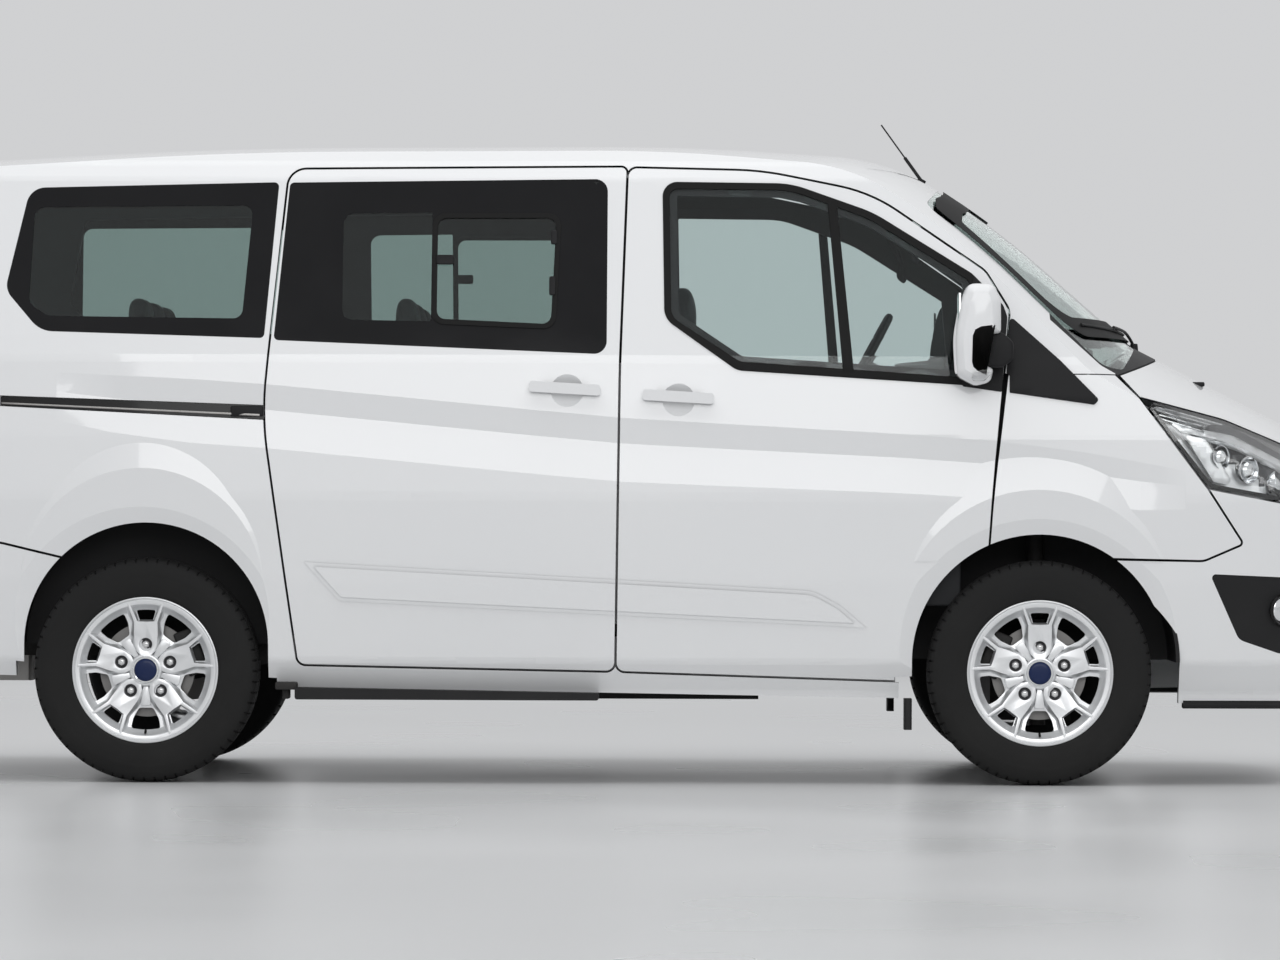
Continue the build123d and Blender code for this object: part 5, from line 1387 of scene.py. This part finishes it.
def build_cabin():
    """Carpet, instrument hood, display, mirror, visors, grab handles, belts and door cards."""
    carpet = flat_plate("top", 503, [(x, -y, r) for x, y, r in CARPET[:1]] + CARPET
                        + [(x, -y, r) for x, y, r in reversed(CARPET[1:])], (), 150)
    for vertex in carpet.data.vertices:
        vertex.co.z = CARPET_TOP * MM
    dress(thicken(carpet, 4), "cabin_carpet", "carpet", "body", 30)
    hood = spun_piece(HOOD_ROWS, HOOD_PLACE, (1, 0, 0.1), (0, 0, 1), 40, True)
    edit_all(hood)
    bpy.ops.transform.resize(value=(1, 2.6, 0.9), center_override=Vector(HOOD_PLACE) * MM)
    bpy.ops.object.mode_set(mode="OBJECT")
    dress(clean(hood), "instrument_hood", "trim_grey", "body")
    screen = box_piece((1010, -110, 1200), (1022, 110, 1310), 6)
    dress(screen, "centre_display", "gloss_black", "body")
    mirror = box_piece((1085, -120, 1748), (1112, 120, 1812), 12, 4)
    stalk = tube_piece([(1105, 0, 1800), (1140, 0, 1830), (1160, 0, 1858)], 9)
    dress(join([mirror, stalk]), "cabin_mirror", "trim_grey", "body")
    visor = box_piece((820, -600, 1846), (960, -130, 1862), 8, 3)
    both(visor, "sun_visor", "trim_light", "body")
    both(tube_piece(GRAB_HANDLE, 11), "pillar_grab_handle", "trim_grey", "body")
    belt = flat_plate("side", 786, BELT, (), 60)
    for vertex in belt.data.vertices:
        vertex.co.y = BELT_LEAN * max(vertex.co.z - BELT_BOTTOM, 0) / BELT_LENGTH - BELT_FOOT
    both(thicken(belt, 2), "front_belt_webbing", "belt_webbing", "body", 30)
    anchor = box_piece((66, -700, 1690), (120, -648, 1740), 10, 3)
    both(anchor, "front_belt_anchor", "trim_grey", "body")
    card = box_piece((150, -868, 560), (1180, -852, 1200), 16, 3)
    rest = box_piece((420, -868, 900), (960, -812, 965), 22, 4)
    pocket = box_piece((260, -868, 580), (1080, -820, 700), 18, 3)
    both(join([card, rest, pocket]), "front_door_trim", "trim_grey", "front_door_{s}")
    card = box_piece((-900, -868, 560), (40, -852, 1240), 16, 3)
    both(card, "sliding_door_trim", "trim_grey", "body")


# --- carried-over solids, and the studio
def dress_nodes():
    """Give each carried-over solid the finish of its slot."""
    node_slots = {part["node"]: part["material_slot"] for part in frame["record"]["subparts"]}
    for name, node in nodes.items():
        node.data.materials.clear()
        finish = "front_glass" if name.startswith("front_door_glass") else node_slots[name]
        node.data.materials.append(FINISH[finish])


FLOOR_DARK = (0.54, 0.545, 0.55)
FLOOR_LIGHT = (0.65, 0.655, 0.66)
SKY_GREY, SKY_STRENGTH = (0.8, 0.81, 0.82), 0.62
WALL_GREY = (0.63, 0.635, 0.645)


def build_studio():
    """Pale floor, a grey world for light, and a wall's grey where the camera or a pane sees the world."""
    deselect()
    bpy.ops.mesh.primitive_plane_add(size=120, location=(0, 0, 0))
    floor = bpy.context.object
    floor.name = "studio_floor"
    finish, tree, shader = new_finish("studio_floor", (0.60, 0.605, 0.61), 0.3)
    shader.inputs["Specular IOR Level"].default_value = 0.35
    place = new_node(tree, "TexCoord").outputs["Object"]
    cloud = new_node(tree, "TexNoise", {"Scale": 0.7, "Detail": 1})
    wire(tree, (place, cloud.inputs["Vector"]),
         (mix_colour(tree, cloud.outputs["Fac"], FLOOR_DARK, FLOOR_LIGHT), shader.inputs["Base Color"]),
         (ramp_value(tree, cloud.outputs["Fac"], 0.22, 0.36), shader.inputs["Roughness"]))
    floor.data.materials.append(finish)
    world = bpy.data.worlds.new("studio_world")
    bpy.context.scene.world = world
    world.use_nodes = True
    tree = world.node_tree
    light = tree.nodes["Background"]
    light.inputs["Color"].default_value = (*SKY_GREY, 1)
    light.inputs["Strength"].default_value = SKY_STRENGTH
    wall = new_node(tree, "Background", {"Color": (*WALL_GREY, 1)})
    rays = new_node(tree, "LightPath")
    thrown = math_node(tree, "MAXIMUM", rays.outputs["Is Glossy Ray"], rays.outputs["Is Transmission Ray"])
    seen = math_node(tree, "MAXIMUM", rays.outputs["Is Camera Ray"], thrown)
    choice = new_node(tree, "MixShader")
    wire(tree, (seen, choice.inputs[0]), (light.outputs[0], choice.inputs[1]),
         (wall.outputs[0], choice.inputs[2]),
         (choice.outputs[0], tree.nodes["World Output"].inputs["Surface"]))


bpy.context.scene.view_settings.view_transform = "Standard"
build_camera()
build_studio()
for lamp in LAMPS:
    build_lamp(*lamp)
dress_nodes()
build_side_windows()
build_sail_panels()
build_mirrors()
build_headlamps()
build_nose()
build_windscreen()
build_side_fittings()
build_tail()
build_wheels()
build_callipers()
build_cabin()
build_seats()
